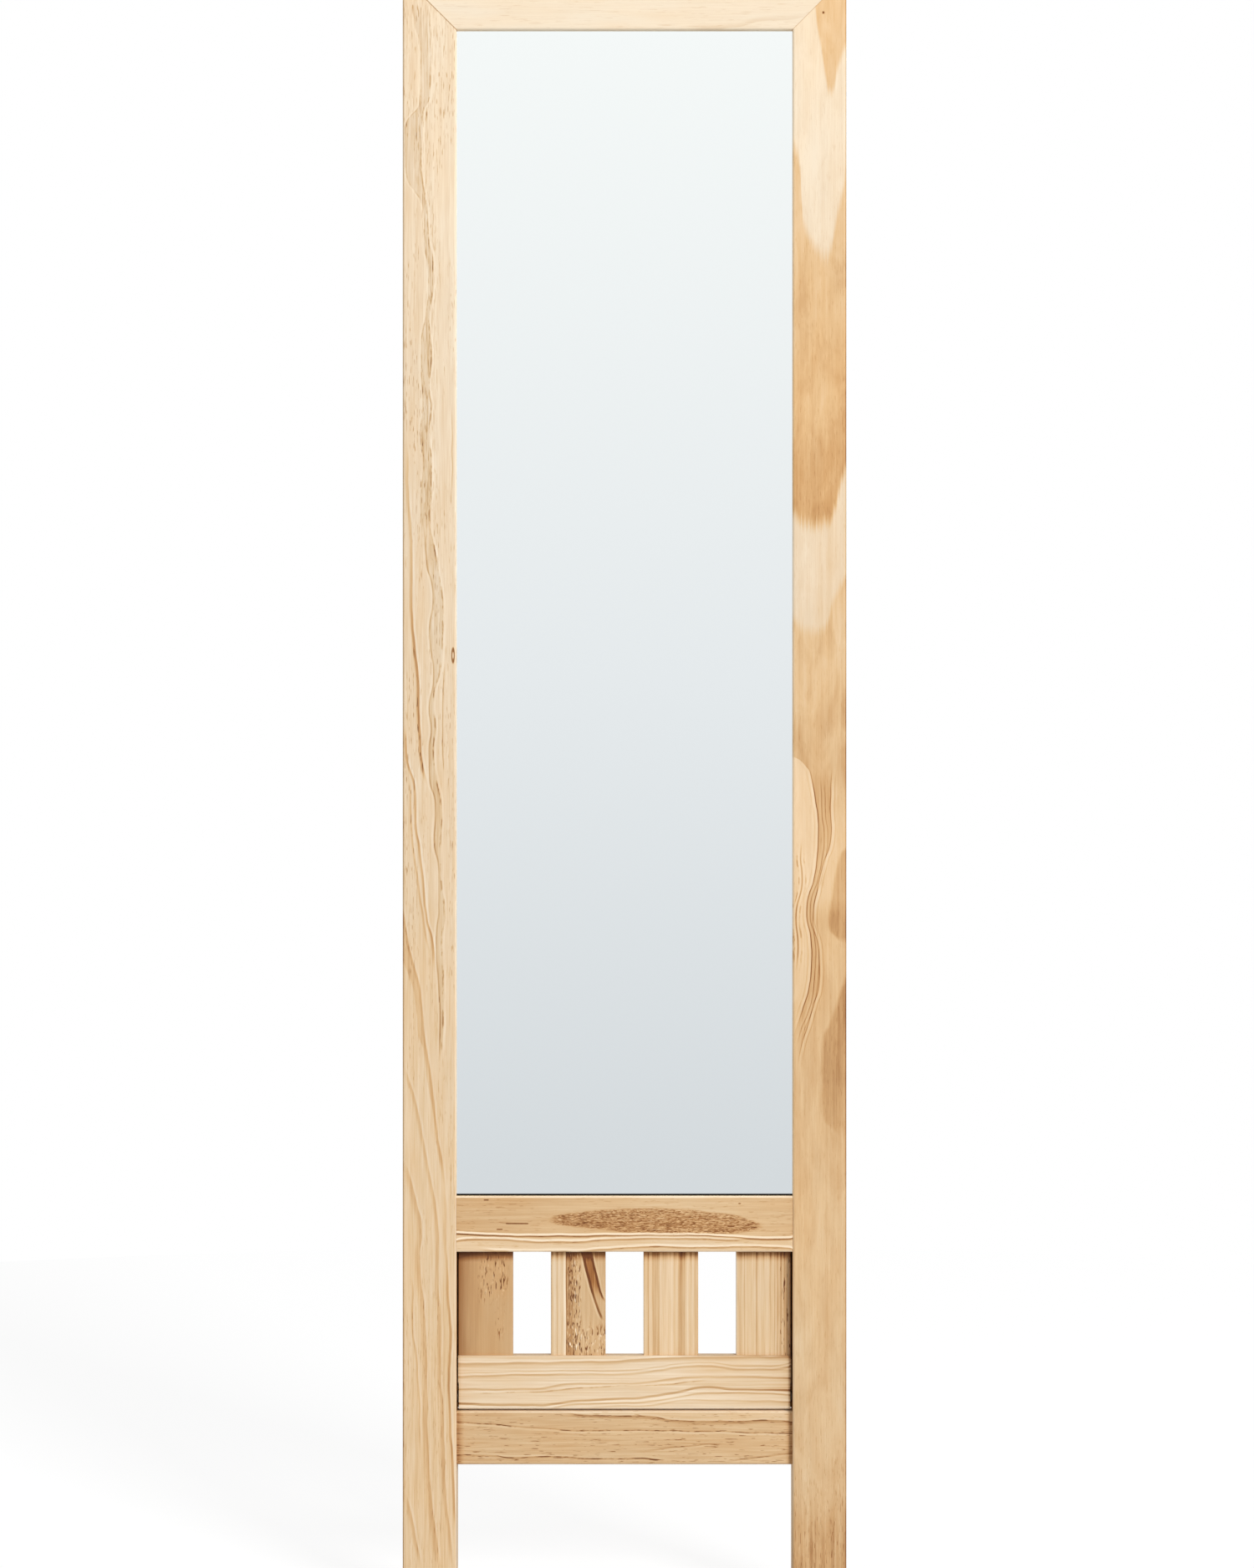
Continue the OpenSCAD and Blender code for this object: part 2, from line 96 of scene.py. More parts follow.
# How growth lines are drawn, in millimetres: how far they waver and over which lengths, where their sharp
# side begins and is full, the low end, high end and softness of the pale rim before it, and how near to the
# board's end a line has to come to run on over it.
WAVER = 2.2
WAVER_LENGTHS = (24, 40, 40)
LINE_EDGE = (-0.4, 0.2)
LINE_RIM = (-2.2, 0.1, 0.5)
END_REACH = 4

# Breaks in a dashed line: their lengths, and the noise where a dash begins and is full.
BREAK_LENGTHS = (10, 3, 3)
BREAK_LEVELS = (-0.06, 0.1)

# Painted light along a stile's arrises, a highlight on the inner one and shade on the outer one: their
# widths, and the softness of their edges, in millimetres.
INNER_HIGHLIGHT = 1.6
OUTER_SHADE = 1.5
RIM_SOFTNESS = 1

# The shadow on the slats' tops: how far down it begins and is full, in millimetres, and its tone.
SHADOW_START = 9
SHADOW_FULL = 1
SHADOW_TONE = 0.45

# The painted shade in the gaps beside the shelf, in millimetres: how far in from a stile's inner face it
# fades from counting as that face, and how far it reaches past the shelf. The tone says how much darker the
# painted shade makes the face.
STILE_FACE = (0.02, 0.1)
GAP_MARGIN = 2
GAP_SHADE_TONE = 0.6

# How far from its middle a mitre's glue line is full, and where it ends, in millimetres.
JOINT_WIDTH = (0.25, 0.7)

# The painted shade line at the mirror's foot, in millimetres: how far above the mid rail it is full, and
# ends.
GLASS_FOOT_SHADE = (1.4, 1.8)

# The cross mesh pressed into hardboard, in radians per millimetre.
BOARD_MESH = 3.5

# Steps that set one noise apart from another.
SEED_STEPS = (7.3, 3.1, 5.7)

# Two places closer than this are the same, in metres.
NEAR = 0.00001


def linear(colour):
    """The linear RGBA of an sRGB colour given as 0 to 255."""
    channels = []
    for value in colour:
        part = value / 255
        channels.append(part / 12.92 if part <= 0.04045 else ((part + 0.055) / 1.055) ** 2.4)
    return channels + [1]


def set_stops(ramp, stops):
    """Gives a colour ramp node its (position, sRGB) stops."""
    elements = ramp.color_ramp.elements
    for element, (position, colour) in zip(elements, (stops[0], stops[-1])):
        element.position = position
        element.color = linear(colour)
    for position, colour in stops[1:-1]:
        elements.new(position).color = linear(colour)


class Field:
    """A number that varies over a surface. Sums of fields add the nodes that work them out."""

    def __init__(self, graph, socket):
        self.graph = graph
        self.socket = socket

    def __add__(self, other):
        return self.graph.math("ADD", self, other)

    def __sub__(self, other):
        return self.graph.math("SUBTRACT", self, other)

    def __rsub__(self, other):
        return self.graph.math("SUBTRACT", other, self)

    def __mul__(self, other):
        return self.graph.math("MULTIPLY", self, other)

    def __truediv__(self, other):
        return self.graph.math("DIVIDE", self, other)

    __radd__ = __add__


class Graph:
    """The node tree of one material, with the surface's place in millimetres as x, y and z.

    A subclass sets place, which says where on the surface a noise is looked up.
    """

    def __init__(self, name):
        self.material = bpy.data.materials.new(name)
        self.material.use_nodes = True
        self.tree = self.material.node_tree
        self.tree.nodes.clear()
        parts = self.add("ShaderNodeSeparateXYZ")
        self.tree.links.new(self.add("ShaderNodeTexCoord").outputs["Object"], parts.inputs[0])
        self.x, self.y, self.z = [Field(self, socket) / MM for socket in parts.outputs]

    def add(self, kind):
        return self.tree.nodes.new(kind)

    def feed(self, socket, value):
        """Links a field to a socket, or sets the socket to a plain value."""
        if isinstance(value, Field):
            self.tree.links.new(value.socket, socket)
        else:
            socket.default_value = value

    def math(self, operation, *values):
        node = self.add("ShaderNodeMath")
        node.operation = operation
        for socket, value in zip(node.inputs, values):
            self.feed(socket, value)
        return Field(self, node.outputs[0])

    def smooth(self, value, low, high):
        """0 up to low, 1 from high on, and an easy curve between them."""
        node = self.add("ShaderNodeMapRange")
        node.interpolation_type = "SMOOTHSTEP"
        for socket, number in zip(node.inputs, (value, low, high)):
            self.feed(socket, number)
        return Field(self, node.outputs[0])

    def between(self, value, low, high, soft):
        """1 from low to high, fading over soft inside each end."""
        return self.smooth(value, low, low + soft) * (1 - self.smooth(value, high - soft, high))

    def combine(self, x, y, z):
        node = self.add("ShaderNodeCombineXYZ")
        for socket, value in zip(node.inputs, (x, y, z)):
            self.feed(socket, value)
        return Field(self, node.outputs[0])

    def noise(self, lengths, seed, detail=2.0, distortion=0.0):
        """Noise about 0, within half of 1, whose features have the given lengths in millimetres."""
        mapping = self.add("ShaderNodeMapping")
        self.feed(mapping.inputs["Vector"], self.place)
        mapping.inputs["Scale"].default_value = [1 / length for length in lengths]
        mapping.inputs["Location"].default_value = [seed * step for step in SEED_STEPS]
        node = self.add("ShaderNodeTexNoise")
        self.feed(node.inputs["Vector"], Field(self, mapping.outputs[0]))
        node.inputs["Scale"].default_value = 1
        node.inputs["Detail"].default_value = detail
        node.inputs["Distortion"].default_value = distortion
        return Field(self, node.outputs[0]) - 0.5

    def trace(self, place, points):
        """A smooth curve through (place, value) points, held level past its ends."""
        first, last = points[0][0], points[-1][0]
        values = [value for _, value in points]
        low, rise = min(values), max(max(values) - min(values), 0.001)
        scaled = [((at - first) / (last - first), (value - low) / rise) for at, value in points]
        node = self.add("ShaderNodeFloatCurve")
        curve = node.mapping.curves[0]
        curve.points[0].location = scaled[0]
        curve.points[1].location = scaled[-1]
        for at, value in scaled[1:-1]:
            curve.points.new(at, value)
        node.mapping.extend = "HORIZONTAL"
        node.mapping.update()
        self.feed(node.inputs["Value"], (place - first) / (last - first))
        return Field(self, node.outputs[0]) * rise + low

    def ramp(self, tone, stops):
        """Colour along a scale of (position, sRGB) stops."""
        node = self.add("ShaderNodeValToRGB")
        set_stops(node, stops)
        self.feed(node.inputs[0], tone)
        return Field(self, node.outputs["Color"])

    def warm(self, colour, warmth):
        """Turns a colour towards orange, or with a negative warmth towards grey."""
        node = self.add("ShaderNodeVectorMath")
        node.operation = "MULTIPLY"
        change = self.combine(warmth * WARM_RED + 1, 1 - warmth * WARM_GREEN, 1 - warmth * WARM_BLUE)
        self.feed(node.inputs[0], colour)
        self.feed(node.inputs[1], change)
        return Field(self, node.outputs[0])

    def surface(self, colour, roughness, height, relief, shine=0.5, metallic=0):
        """Ends the tree in a Principled shader, with height standing up by relief in millimetres."""
        shader = self.add("ShaderNodeBsdfPrincipled")
        self.feed(shader.inputs["Base Color"], colour)
        self.feed(shader.inputs["Roughness"], roughness)
        self.feed(shader.inputs["Specular IOR Level"], shine)
        self.feed(shader.inputs["Metallic"], metallic)
        bump = self.add("ShaderNodeBump")
        bump.inputs["Distance"].default_value = relief * MM
        self.feed(bump.inputs["Height"], height)
        self.tree.links.new(bump.outputs[0], shader.inputs["Normal"])
        output = self.add("ShaderNodeOutputMaterial")
        self.tree.links.new(shader.outputs[0], output.inputs["Surface"])

    def dress(self, *names):
        """Puts the material on CAD nodes."""
        for name in names:
            slots = NODES[name].data.materials
            slots.clear()
            slots.append(self.material)


class Plain(Graph):
    """A material whose noises run along x, y and z."""

    def __init__(self, name):
        super().__init__(name)
        self.place = self.combine(self.x, self.y, self.z)


class Board(Graph):
    """The material of one pine board, with its own directions: along the grain and across the face."""

    def __init__(self, node, upright, seed):
        super().__init__(node + "_pine")
        low, high = [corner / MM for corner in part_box(node)]
        depth = self.y - low.y
        if upright:
            self.along, face, self.width = self.z, self.x - low.x, high.x - low.x
            self.ends = low.z, high.z
        else:
            self.along, face, self.width = self.x, self.z - low.z, high.z - low.z
            self.ends = low.x, high.x
        self.face = face
        # Folds back at the far arris, so that a figure goes on round the edge.
        self.across = self.math("PINGPONG", face + depth * LEAN, self.width)
        self.place = self.combine(self.along, face, depth)
        self.seed = seed
        # Where a growth line is looked up: it wavers a little round its trace.
        self.wavy = self.across + self.noise(WAVER_LENGTHS, seed + 0.3, 1) * WAVER
        self.left = high.x < 0

    def curve(self, points):
        """A value that changes along the grain, through (along, value) points."""
        return self.trace(self.along, points)

    def run(self, low, high, fade):
        """1 from low to high along the grain, fading at an end that stops short of the board's."""
        if low < self.ends[0] + END_REACH:
            low -= fade
        if high > self.ends[1] - END_REACH:
            high += fade
        return self.between(self.along, low, high, fade)

    def line(self, points, strength, core, soft, side=1, rim=0.3, shift=0, fade=20, dashed=False):
        """A growth line on a trace: sharp with a pale rim on one side, and fading out towards side."""
        if isinstance(strength, tuple):
            strength = self.curve(strength)
        offset = (self.wavy - self.curve(points) - shift) * side
        mark = self.smooth(offset, *LINE_EDGE) * (1 - self.smooth(offset, core, core + soft))
        if dashed:
            breaks = self.noise(BREAK_LENGTHS, self.seed + 0.5)
            mark = mark * self.smooth(breaks, *BREAK_LEVELS)
        mark = mark - self.between(offset, *LINE_RIM) * rim
        return mark * self.run(points[0][0], points[-1][0], fade) * strength

    def lines(self, *rows, **details):
        """The sum of some growth lines. A row holds the first values that line() takes, in its order."""
        return sum(self.line(*row, **details) for row in rows)

    def band(self, left, right, strength, soft=0.6, fade=20):
        """A patch between two traces."""
        inner = self.smooth(self.wavy - self.curve(left), -soft, soft)
        outer = self.smooth(self.wavy - self.curve(right), -soft, soft)
        low, high = max(left[0][0], right[0][0]), min(left[-1][0], right[-1][0])
        if isinstance(strength, tuple):
            strength = self.curve(strength)
        return inner * (1 - outer) * self.run(low, high, fade) * strength

    def patch(self, along, face):
        """1 on a patch of the face, from its (start, end, softness) each way."""
        return self.between(self.along, *along) * self.between(self.face, *face)

    def above(self, points, soft=7, feather=16):
        """1 further along than an edge through (across, along) points, drawn out into fine streaks."""
        streaks = self.noise(FEATHER_LENGTHS, self.seed + 0.7) * feather
        return self.smooth(self.along - self.trace(self.across, points) + streaks, -soft, soft)

    def dashes(self, length, width, seed, low=0.13, high=0.2):
        """Short dark strokes along the grain."""
        return self.smooth(self.noise((length, width, width), seed, 1), low, high)

    def stroke(self, start, end, face, strength, width=0.7):
        """One dark stroke along the grain."""
        offset = self.math("ABSOLUTE", self.face - face)
        length = self.between(self.along, start, end, 1)
        return (1 - self.smooth(offset, width / 2, width)) * length * strength

    def fine_lines(self, strength):
        """Long thin lines along the grain."""
        return self.noise(FINE_LINE_LENGTHS, self.seed + 3, 1) * strength

    def stripes(self, rows, wander):
        """Straight stripes along the grain, from (place, half width, softness, strength) rows."""
        total = 0
        for place, half, soft, strength in rows:
            offset = self.math("ABSOLUTE", self.across + wander - place)
            total = (1 - self.smooth(offset, half, half + soft)) * strength + total
        return total

    def corners(self, reach):
        """Painted shade at the ends of a rail, by the stiles: 1 at the ends, fading over the reach."""
        return self.smooth(self.math("ABSOLUTE", self.along), self.ends[1] - reach, self.ends[1])

    def painted_rail_shadow(self):
        """The painted shadow of the mid rail on the slats' tops."""
        return self.smooth(self.along, SHELF_TOP - SHADOW_START, SHELF_TOP - SHADOW_FULL) * SHADOW_TONE

    def edges(self, inner, outer):
        """Painted light along a stile's long edges: a highlight on the one by the mirror, and shade on the
        one outside.
        """
        inward = 1 if self.left else -1
        middle = (self.face - self.width / 2) * inward
        rim = self.width / 2
        inner_highlight = self.smooth(middle, rim - INNER_HIGHLIGHT, rim - INNER_HIGHLIGHT + RIM_SOFTNESS)
        outer_shade = self.smooth(middle * -1, rim - OUTER_SHADE, rim - OUTER_SHADE + RIM_SOFTNESS)
        return inner_highlight * inner + outer_shade * outer

    def painted_gap_shade(self):
        """1 on a stile's face beside the shelf, in the narrow gap there, which gets painted shade."""
        depth_in = self.math("ABSOLUTE", self.x) - MITRE_X
        on_face = 1 - self.smooth(depth_in, *STILE_FACE)
        return on_face * self.between(self.z, SHELF_LOW - GAP_MARGIN, SHELF_TOP + GAP_MARGIN, 1)

    def mitre_joint(self, strength):
        """The fine dark glue line of the mitre."""
        offset = self.math("ABSOLUTE", self.math("ABSOLUTE", self.x) - MITRE_X - self.z + MITRE_Z)
        return (1 - self.smooth(offset, *JOINT_WIDTH)) * strength

    def finish(self, tone, *nodes, grain=1.0, warmth=0, painted_shade=0):
        """Adds the fine grain to the tones, and dresses the nodes. Painted shade is 1 on a face in a dark
        gap.
        """
        fibre = self.noise(FIBRE_LENGTHS, self.seed, 3)
        streak = self.noise(STREAK_LENGTHS, self.seed + 1)
        cloud = self.noise(CLOUD_LENGTHS, self.seed + 2)
        tone = tone + fibre * (FIBRE_TONE * grain) + streak * (STREAK_TONE * grain) + cloud * CLOUD_TONE
        # Painted shade darkens a face in a gap beside the shelf, makes it rougher and takes away its shine.
        colour = self.ramp((tone + painted_shade * GAP_SHADE_TONE) / DEEPEST_TONE, PINE)
        roughness = LACQUER_ROUGHNESS + fibre * 0.25 + painted_shade * 0.3
        shine = (1 - painted_shade) * LACQUER_SHINE
        self.surface(self.warm(colour, cloud * 1.2 + warmth), roughness, tone + fibre, GRAIN_RELIEF, shine)
        self.dress(*nodes)


# Where the mitre starts, in millimetres: the corner of the mirror.
MITRE_X = -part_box("left_stile")[1].x / MM
MITRE_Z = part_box("top_rail")[0].z / MM

# Height of the shelf's lower edge and of the slats' tops, in millimetres.
SHELF_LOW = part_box("shelf_rail")[0].z / MM
SHELF_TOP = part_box("shelf_slat_1")[1].z / MM

# Strips on the stiles behind the shelf's ends, in millimetres. The toe of the turning shelf reaches
# back from the pivot pin's front by less than TOE_REACH.
STRIP_WIDTH = 3
STRIP_DEPTH = 8
STRIP_GAP = 0.3
STRIP_ARRIS = 0.6
TOE_REACH = 16

# Growth lines, as points of (along, across) in millimetres. They were read off the photograph, and listed
# mostly where a line turns.

# Left stile: the edges of its band of heart, its golden lines, and two fine lines
BAND_LEFT_UPPER = (
    (921, 18), (950, 15), (980, 17.5), (1005, 15.5), (1036, 17), (1060, 15.5), (1090, 16), (1110, 20),
    (1143, 22), (1172, 18.5), (1188, 18.5), (1215, 11), (1240, 2), (1268, 2), (1292, 14.5), (1335, 15.5),
    (1362, 10), (1379, 10),
)
BAND_LEFT_LOWER = (
    (469, 31.5), (520, 31), (573, 28.5), (605, 31), (640, 30), (660, 27), (688, 27.5), (714, 22.5),
    (740, 22.5), (755, 24), (770, 22.5), (800, 26), (838, 22.5), (864, 25.5), (892, 21), (932, 17.5),
)
BAND_RIGHT_UPPER = (
    (918, 25.5), (932, 23.5), (965, 25), (987, 25), (1006, 23), (1029, 25), (1044, 23.5), (1080, 25),
    (1100, 23), (1143, 27), (1170, 23.5), (1210, 20), (1256, 16.5), (1283, 18), (1298, 23), (1336, 24.5),
    (1379, 18.5),
)
BAND_RIGHT_LOWER = (
    (469, 32), (510, 35), (545, 35), (570, 34), (600, 36.5), (615, 34.5), (645, 33), (680, 33.5), (712, 29),
    (738, 27), (757, 28.5), (774, 27), (800, 31.5), (830, 34.5), (850, 35), (882, 32), (928, 23.5),
)
GOLDEN_LINE = (
    (705, 22), (722, 18), (745, 15.5), (800, 13.5), (825, 11), (868, 8), (890, 8.5), (925, 7.5), (960, 5),
    (990, 5), (1002, 4),
)
MIDDLE_LINE = (
    (545, 27), (556, 27.5), (574, 26), (592, 21.5), (624, 18.5), (640, 16.5), (655, 15), (672, 12),
    (698, 11.5), (740, 3), (760, 3),
)
MIDDLE_LINE_OUTSIDE = (
    (560, 24.5), (580, 20), (597, 18), (620, 14.5), (674, 8), (704, 7), (717, 5),
)
LONG_BAND_LEFT = (
    (370, 34), (395, 29.5), (425, 26), (450, 21.5), (480, 18), (495, 13), (520, 11), (533, 9), (560, 0),
    (585, -4), (610, -4),
)
LONG_BAND_RIGHT = (
    (69, 46), (120, 43.5), (200, 40.5), (241, 42), (270, 39.5), (295, 39), (320, 37), (348, 37), (380, 34.5),
    (410, 29.5), (465, 23.5), (500, 18), (530, 15.5), (555, 9.5), (575, 4.5), (611, 0),
)
LEG_LINE_INNER = (
    (36, 42.5), (65, 41), (105, 36.5), (175, 34.5), (200, 32.5), (250, 33), (280, 30.5), (310, 31),
    (345, 28.5), (372, 23.5), (415, 16), (440, 10), (470, 0.5),
)
LEG_LINE_MIDDLE = (
    (36, 32.5), (70, 28), (110, 23.5), (175, 21), (228, 20.5), (262, 18.5), (284, 15.5), (305, 15),
    (324, 16.5), (345, 13), (388, 1),
)
LEG_LINE_FOOT = ((36, 16), (70, 10), (104, 2))
LEG_LINE_OUTER = ((134, 15.5), (175, 14.5), (220, 12), (242, 9), (270, 9), (291, 5))
FINE_LINE_UPPER = ((950, 41), (1000, 42), (1036, 41))
FINE_LINE_LOWER = ((714, 36), (735, 34), (765, 34), (814, 36))

# Right stile: the bundle of lines beside its knots, the loop, the knots' edges, and a place past the board
FIGURE_LEFT = (
    (494, 1), (515, 8), (535, 14), (553, 16), (578, 15), (598, 12), (625, 17.5), (645, 20.5), (675, 21.5),
    (693, 19), (716, 15.5), (723, 11.5), (731, 1),
)
FIGURE_MIDDLE = (
    (477, 1.5), (495, 6), (512, 12.5), (531, 17.5), (563, 19.5), (580, 18), (597, 15), (625, 21),
    (642, 24.5), (664, 26.5), (680, 25), (722, 23.5),
)
FIGURE_RIGHT = (
    (460, 4), (485, 8), (500, 13), (518, 17.5), (533, 22.5), (545, 23.5), (570, 22), (592, 18), (615, 21),
    (640, 26.5), (667, 33), (690, 32.5), (728, 34.5),
)
FIGURE_LOOP = ((545, 1.5), (567, 5), (592, 3.5), (628, 8.5), (648, 7.5), (661, 9))
UPPER_KNOT_EDGE = ((570, 46.5), (577, 37), (590, 31), (610, 33.5), (642, 39), (656, 46.5))
LOWER_KNOT_EDGE = (
    (402, 48.5), (413, 34), (427, 25.5), (450, 25), (482, 25.5), (505, 32.5), (520, 37.5), (549, 48),
)
BEYOND_EDGE = ((-10, 60), (1410, 60))

# Mid rail: the edge of its cream part, two lines below it, and the lens-shaped figure
MID_CREAM_EDGE = ((-144, 16), (-77, 14), (40, 14.5), (88, 13.5), (124, 11.5), (144, 12.5))
MID_LINE = ((-144, 9.5), (-112, 11), (-65, 9), (30, 12), (66, 11.5), (109, 10))
MID_FOOT_LINE = ((-128, 2), (-60, 1), (-16, 2.5), (30, 5), (65, 4), (95, 5), (144, 2.5))
MID_LENS_TOP = (
    (-67, 27), (-55, 31.5), (-30, 34.5), (0, 37), (45, 37), (75, 34), (95, 31), (107, 27), (121, 24),
)
MID_LENS_FOOT = ((-67, 26.5), (-57, 23.5), (-15, 19), (10, 16), (70, 15), (92, 16), (121, 23.5))

# The shelf rail's lines from the top down, then those of the lower rail, the top rail and slat 2
SHELF_LINE_1 = ((-143, 38.5), (-40, 39.5), (15, 42), (66, 44), (142, 44))
SHELF_LINE_2 = ((-143, 28.5), (-74, 30), (2, 31), (30, 34), (70, 37.5), (102, 34.5), (142, 37.5))
SHELF_LINE_3 = ((-143, 18), (-85, 18), (-44, 22.5), (2, 23), (66, 28.5), (142, 27.5))
SHELF_LINE_4 = ((-138, 13.5), (-79, 15.5), (-12, 20), (17, 21), (73, 25.5))
SHELF_LINE_5 = ((-143, 5), (-85, 4), (-30, 8), (0, 9.5), (51, 16), (74, 19.5), (92, 17.5), (142, 16.5))
SHELF_LINE_6 = ((-143, 2), (-78, 2), (-40, 5.5), (5, 7), (51, 12.5), (75, 15.5), (142, 13.5))
SHELF_LINE_7 = ((-54, 0), (-8, 3), (15, 3.5), (60, 8.5), (89, 8), (141, 7))
LOWER_LINE_1 = ((-54, 45.5), (-5, 42), (20, 42), (42, 38.5), (93, 37.5), (120, 38.5), (143, 37))
LOWER_LINE_2 = ((-140, 36), (-98, 33), (-33, 29), (3, 29), (80, 28), (143, 26.5))
LOWER_LINE_3 = ((-143, 9), (-112, 8), (-98, 6.5), (-58, 7), (-33, 5.5), (20, 5), (39, 0.5))
LOWER_LINE_4 = ((15, 10.5), (67, 16.5), (89, 17.5))
LOWER_LINE_5 = ((82, 0), (96, 3), (143, 9.5))
TOP_LINE = ((51, 1), (90, 1.5), (120, 7.5), (145, 9), (164, 15))
SLAT_STREAK_LEFT = ((246, 44), (263, 37.5), (279, 32.5), (305, 26), (330, 19.5))
SLAT_STREAK_RIGHT = ((262, 48), (270, 44), (284, 40), (305, 35), (330, 28.5))

# Ends of the tan and cream parts of the right stile, as points of (across, along) in millimetres.
FLAME_TIP = ((18, 1410), (20, 1365), (25, 1336), (33, 1300), (39, 1323), (47, 1344))
TAN_HEAD = ((0, 1260), (6, 1238), (9, 1192), (17, 1172), (30, 1161), (37, 1190), (47, 1239))
TAN_FOOT = ((0, 940), (18, 930), (32, 934), (39, 957), (47, 986))
CREAM_FOOT = ((0, 851), (18, 838), (28, 843), (34, 863), (47, 888))

# The pin knot in the left stile: its place along and across, and its half length and half width.
PIN_KNOT_ALONG = 818
PIN_KNOT_ACROSS = 43.2
PIN_KNOT_RISE = 6.5
PIN_KNOT_SIDE = 1.5

# Single dark strokes, as (start, end, place across the face) in millimetres.
MID_STROKES = ((-102, -82, 24.4), (-110, -104, 19.4), (-121, -116, 44.6), (97, 100, 41.6))
RIGHT_STILE_STROKE = (1367, 1370, 26.2)

# Where a tone changes, in millimetres: an easy step (start, full), or a patch (start, end, softness).
PALE_UPWARD = (600, 900)
PALE_OUTWARD = (8, 30)
BESIDE_HEART = (-9, 9, 6)
HEART_DASHES = (900, 960)
BEFORE_FIGURE = (440, 737, 9)
BEYOND_FIGURE = (590, 716, 24)
CLOUDY_UPWARD = (690, 760)
STREAKY_FOOT = (50, 130)
WARM_TOP = (1200, 1400)
# Painted highlights along the mid rail's lower and upper arrises.
MID_FOOT_HIGHLIGHT = (0.6, 2)
MID_HEAD_HIGHLIGHT = (46, 47)
# A painted highlight along the lower rail's top arris.
LOWER_HEAD_HIGHLIGHT = (44.1, 44.8)
# A painted highlight along the shelf rail's lower arris.
SHELF_FOOT_HIGHLIGHT = (1.8, 2.8)
SLAT_2_BROWN = (13, 14)
SLAT_2_ROUGH = (13, 27, 3)
SLAT_2_ROUGH_FOOT = (200, 248, 14)
SLAT_4_DUCTS = (36, 40)

# Rough patches of slat 1, along and across.
SLAT_1_ROUGH = ((258, 316, 16), (14, 46, 9))
SLAT_1_ROUGH_FOOT = ((226, 266, 15), (30, 42, 5))

# Tones along a board, as points of (along, tone).
LEFT_TONES = ((0, 0.5), (220, 0.44), (391, 0.41), (563, 0.37), (907, 0.22), (1079, 0.17), (1193, 0.11),
              (1400, 0.08))
HEART_TONES = ((640, 0.09), (735, 0.17), (785, 0.1), (907, 0.18), (1079, 0.2), (1193, 0.15), (1379, 0.15))
GOLDEN_LINE_TONES = ((705, 0.46), (830, 0.5), (880, 0.34), (930, 0.28), (1002, 0.12))
LONG_BAND_TONES = ((69, 0.3), (115, 0.35), (250, 0.32), (296, 0.18), (341, 0.14), (611, 0.14))
LEFT_FLECK_TONES = ((0, 0.2), (380, 0.26), (700, 0.52), (1100, 0.56), (1400, 0.56))
LEFT_WARMTH = ((0, 0.1), (500, 0), (900, -0.1), (1200, 0.2), (1400, 0.5))
TAN_TONES = ((0, 0.84), (60, 0.77), (120, 0.58), (205, 0.55), (330, 0.55), (400, 0.6), (580, 0.58),
             (640, 0.52), (721, 0.6), (850, 0.46), (936, 0.73), (990, 0.68), (1030, 0.53), (1107, 0.54),
             (1200, 0.4), (1400, 0.34))
CREAM_TONES = ((850, 0.26), (930, 0.22), (1150, 0.16), (1240, 0.06), (1400, 0.03))
BEFORE_FIGURE_TONES = ((440, 0.12), (600, 0.13), (650, 0.22), (700, 0.3), (726, 0.3))
LOWER_KNOT_TONES = ((400, 0.1), (440, 0.19), (480, 0.26), (549, 0.28))
WISP_TONES = ((0, 0.6), (60, 0.5), (140, 0.14), (400, 0.18), (560, 0.32), (700, 0.26), (1000, 0.3),
              (1400, 0.18))
DUCT_TONES = ((0, 0.24), (110, 0.2), (160, 0.12), (500, 0.08), (1200, 0.12), (1400, 0))
RIGHT_WARMTH = ((0, 0.9), (200, 0.1), (320, 0.6), (420, 0.6), (580, 1), (850, 0.9), (950, 1.6), (1250, 1.2),
                (1400, 1.7))
MID_RAIL_TONES = ((-144, 0.66), (-80, 0.62), (0, 0.56), (60, 0.53), (144, 0.64))
MID_CREAM_TONE = 0.39
LOWER_RAIL_TONES = ((-144, 0.65), (0, 0.61), (144, 0.57))
# The steep darkening over the shelf rail's last millimetres on the right is painted shade.
SHELF_RAIL_TONES = ((-143, 0.34), (-60, 0.29), (30, 0.26), (80, 0.31), (135, 0.42), (143, 0.7))

# Tones across a slat's face, as points of (face, tone).
# Slat 1 darkens towards its left edge in painted shade.
SLAT_1_TONES = ((0, 0.98), (4, 0.92), (10, 0.82), (20, 0.75), (42, 0.72), (47, 0.66))
SLAT_2_TONES = ((0, 0.42), (1.5, 0.56), (2.6, 0.34), (4.5, 0.38), (5.5, 0.52), (7, 0.32), (10, 0.4),
                (11, 0.26), (12.4, 0.04), (13.3, 0.96), (14.4, 0.8), (17, 0.86), (20, 0.72), (30, 0.63),
                (47, 0.66))
# Towards its right edge slat 4 darkens, partly with its grain and partly in painted shade.
SLAT_4_TONES = ((0, 0.42), (8, 0.46), (30, 0.42), (36, 0.5), (47, 0.64))

# Stripes of a slat: place across, half width, softness, and how much darker or paler.
SLAT_3 = (
    (4, 0.3, 0.5, 0.25), (10.9, 2.3, 1.5, 0.24), (19, 4.6, 1, -0.05), (24.3, 0.3, 0.5, -0.15),
    (32.8, 1.9, 1.6, 0.3), (37.9, 0.3, 0.5, -0.15), (40.1, 0.3, 0.7, 0.15), (46, 1.4, 1.5, 0.14),
)
